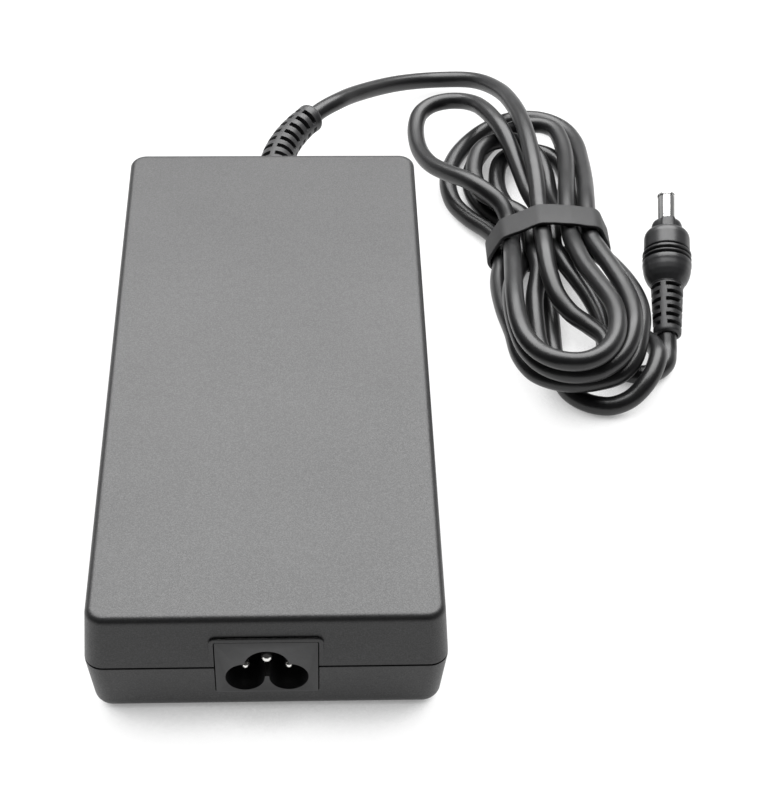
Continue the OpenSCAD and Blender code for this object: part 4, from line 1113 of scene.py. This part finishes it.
class ADAPTER_OT_insides(bpy.types.Operator):
    """Gives every part inside the housing its own finish"""
    bl_idname = "adapter.insides"
    bl_label = "Insides"

    def execute(self, context):
        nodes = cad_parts
        finishes = (
            (laminate("solder_mask", (0.03, 0.12, 0.05)), ("circuit_board", "control_board")),
            (drawn("insulating_film", (0.6, 0.6, 0.52), 0.4, 0.0, 3.0, 0.02), ("floor_sheet", "roof_sheet")),
            (drawn("rolled_sheet", (0.76, 0.77, 0.79), 0.35, 1.0, 0.8, 0.01, (1.0, 0.04, 1.0)),
             ("floor_spreader", "roof_spreader")),
            (drawn("thermal_pad", (0.34, 0.4, 0.5), 0.7, 0.0, 0.4, 0.05), ("floor_pad", "roof_pad")),
            (drawn("fuse_body", (0.6, 0.55, 0.45), 0.5, 0.0, 0.6, 0.03), ("fuse",)),
            (drawn("dipped_coating", (0.05, 0.15, 0.42), 0.2, 0.0, 1.4, 0.06),
             ("surge_disc", "disc_capacitor_a", "disc_capacitor_b")),
            (wound("copper_turns", (0.72, 0.36, 0.16), 0.25, 1.0, 0.8, 0), ("mains_choke_a", "mains_choke_b")),
            (wound("choke_turns", (0.3, 0.34, 0.16), 0.3, 0.6, 1.0, 1), ("output_choke",)),
            (wound("winding_tape", (0.72, 0.55, 0.1), 0.35, 0.0, 2.4, 2),
             ("boost_winding", "transformer_winding")),
            (drawn("moulded_box", (0.62, 0.5, 0.12), 0.3, 0.0, 0.7, 0.03), ("mains_capacitor",)),
            (drawn("moulded_package", (0.03, 0.03, 0.031), 0.5, 0.0, 0.3, 0.02),
             ("bridge_rectifier", "switch_a", "switch_b", "output_rectifier_a", "output_rectifier_b")),
            (drawn("punched_sheet", (0.7, 0.7, 0.72), 0.38, 1.0, 0.7, 0.01, (1.0, 1.0, 0.05)),
             ("bridge_sink", "primary_sink", "output_sink")),
            (drawn("shrunk_film", (0.03, 0.04, 0.16), 0.24, 0.0, 2.2, 0.04),
             ("bulk_capacitor", "output_capacitor_a", "output_capacitor_b", "output_capacitor_c")),
            (drawn("sintered_ferrite", (0.06, 0.06, 0.064), 0.6, 0.0, 0.35, 0.04),
             ("boost_choke", "transformer_core")),
            (vinyl("wire_red", (0.45, 0.03, 0.03), 0.4), ("output_wire_plus",)),
            (vinyl("wire_black", (0.03, 0.03, 0.03), 0.4), ("output_wire_minus",)),
        )
        for finish, names in finishes:
            for name in names:
                finish.put_on(nodes[name])
        return {"FINISHED"}


class ADAPTER_OT_stage(bpy.types.Operator):
    """Lays the floor and sets the lamps and the world"""
    bl_idname = "adapter.stage"
    bl_label = "Stage"

    def floor(self, glow):
        """Pale paper that shines of itself, with a painted shadow in its glow where the adapter stands near,
        seen towards the rear
        """
        size = 4000.0
        floor = add_mesh("floor", [(-size, -size, 0), (size, -size, 0), (size, size, 0), (-size, size, 0)],
                         [(0, 1, 2, 3)])
        material = bpy.data.materials.new("floor_paper")
        paper = Tree(material)
        rear = paper.node("ShaderNodeCombineXYZ", {}, {1: 0.8, 2: 0.6}).outputs[0]
        open_share = paper.value("ShaderNodeAmbientOcclusion", {"samples": 12},
                                 {"Distance": 22 * MM, "Normal": rear}, "AO")
        # the glow dims where the adapter is near towards the rear: a painted contact shadow on the floor
        glow_with_painted_shadow = (open_share * 2.3).least(1.0) ** 1.6
        matt = paper.node("ShaderNodeBsdfDiffuse", {}, {"Color": (0.12, 0.12, 0.12, 1.0)})
        shine = paper.node("ShaderNodeEmission", {}, {"Color": glow_with_painted_shadow, "Strength": glow})
        both = paper.node("ShaderNodeAddShader", {}, {0: matt.outputs[0], 1: shine.outputs[0]})
        paper.node("ShaderNodeOutputMaterial", {}, {"Surface": both.outputs[0]})
        floor.data.materials.append(material)

    def softbox(self, context, place, aim, size, power):
        """Large soft lamp behind and above the adapter"""
        data = bpy.data.lights.new("rear_softbox", "AREA")
        data.shape = "RECTANGLE"
        data.size, data.size_y = size
        data.energy = power
        lamp = bpy.data.objects.new("rear_softbox", data)
        lamp.location = place
        lamp.rotation_euler = (Vector(aim) - Vector(place)).to_track_quat("-Z", "Y").to_euler()
        context.scene.collection.objects.link(lamp)

    def world(self, context):
        """Room that is dim in front and brighter behind, and plain where the camera sees it"""
        world = bpy.data.worlds.new("studio")
        context.scene.world = world
        room = Tree(world)
        way = room.node("ShaderNodeTexCoord", {}, {}).outputs["Generated"]
        behind = room.value("ShaderNodeSeparateXYZ", {}, {0: way}, 1)
        strength = room.value("ShaderNodeMapRange", {}, {"Value": behind, "From Min": -0.1, "From Max": 0.6,
                                                         "To Min": 0.05, "To Max": 0.55})
        lit = room.node("ShaderNodeBackground", {}, {"Strength": strength})
        seen = room.node("ShaderNodeBackground", {}, {"Strength": 1.0})
        camera_ray = room.node("ShaderNodeLightPath", {}, {}).outputs["Is Camera Ray"]
        mix = room.node("ShaderNodeMixShader", {}, {0: camera_ray, 1: lit.outputs[0], 2: seen.outputs[0]})
        room.node("ShaderNodeOutputWorld", {}, {"Surface": mix.outputs[0]})

    def execute(self, context):
        settings = context.scene.adapter_stage
        context.scene.view_settings.view_transform = "Standard"
        self.floor(settings.floor_glow)
        self.world(context)
        self.softbox(context, (0.03, 0.68, 1.17), (0.02, 0.02, 0.0), (1.7, 1.4), settings.key_power)
        return {"FINISHED"}


class ADAPTER_PT_panel(bpy.types.Panel):
    """Lists the adapter's sizes and the steps that build it"""
    bl_idname = "ADAPTER_PT_panel"
    bl_label = "Laptop Power Adapter"
    bl_space_type = "VIEW_3D"
    bl_region_type = "UI"
    bl_category = "Adapter"

    def draw(self, context):
        layout = self.layout
        for name, group in GROUPS:
            settings = getattr(context.scene, name)
            box = layout.box()
            for prop in group.__annotations__:
                box.prop(settings, prop)
        for operator in OPERATORS:
            layout.operator(operator.bl_idname)


GROUPS = (
    ("adapter_housing", HousingSettings),
    ("adapter_inlet", InletSettings),
    ("adapter_cord", CordSettings),
    ("adapter_sleeve", SleeveSettings),
    ("adapter_strap", StrapSettings),
    ("adapter_plug", PlugSettings),
    ("adapter_stage", StageSettings),
)
OPERATORS = (
    ADAPTER_OT_camera,
    ADAPTER_OT_cord,
    ADAPTER_OT_housing,
    ADAPTER_OT_inlet,
    ADAPTER_OT_sleeve,
    ADAPTER_OT_strap,
    ADAPTER_OT_plug,
    ADAPTER_OT_declare,
    ADAPTER_OT_insides,
    ADAPTER_OT_stage,
)


def register():
    for name, group in GROUPS:
        bpy.utils.register_class(group)
        setattr(bpy.types.Scene, name, PointerProperty(type=group))
    for operator in OPERATORS:
        bpy.utils.register_class(operator)
    bpy.utils.register_class(ADAPTER_PT_panel)


def unregister():
    bpy.utils.unregister_class(ADAPTER_PT_panel)
    for operator in reversed(OPERATORS):
        bpy.utils.unregister_class(operator)
    for name, group in reversed(GROUPS):
        delattr(bpy.types.Scene, name)
        bpy.utils.unregister_class(group)


def main():
    register()
    bpy.ops.adapter.camera()
    bpy.ops.adapter.cord()
    bpy.ops.adapter.housing()
    bpy.ops.adapter.inlet()
    bpy.ops.adapter.sleeve()
    bpy.ops.adapter.strap()
    bpy.ops.adapter.plug()
    bpy.ops.adapter.declare()
    bpy.ops.adapter.insides()
    bpy.ops.adapter.stage()


if __name__ == "__main__":
    main()
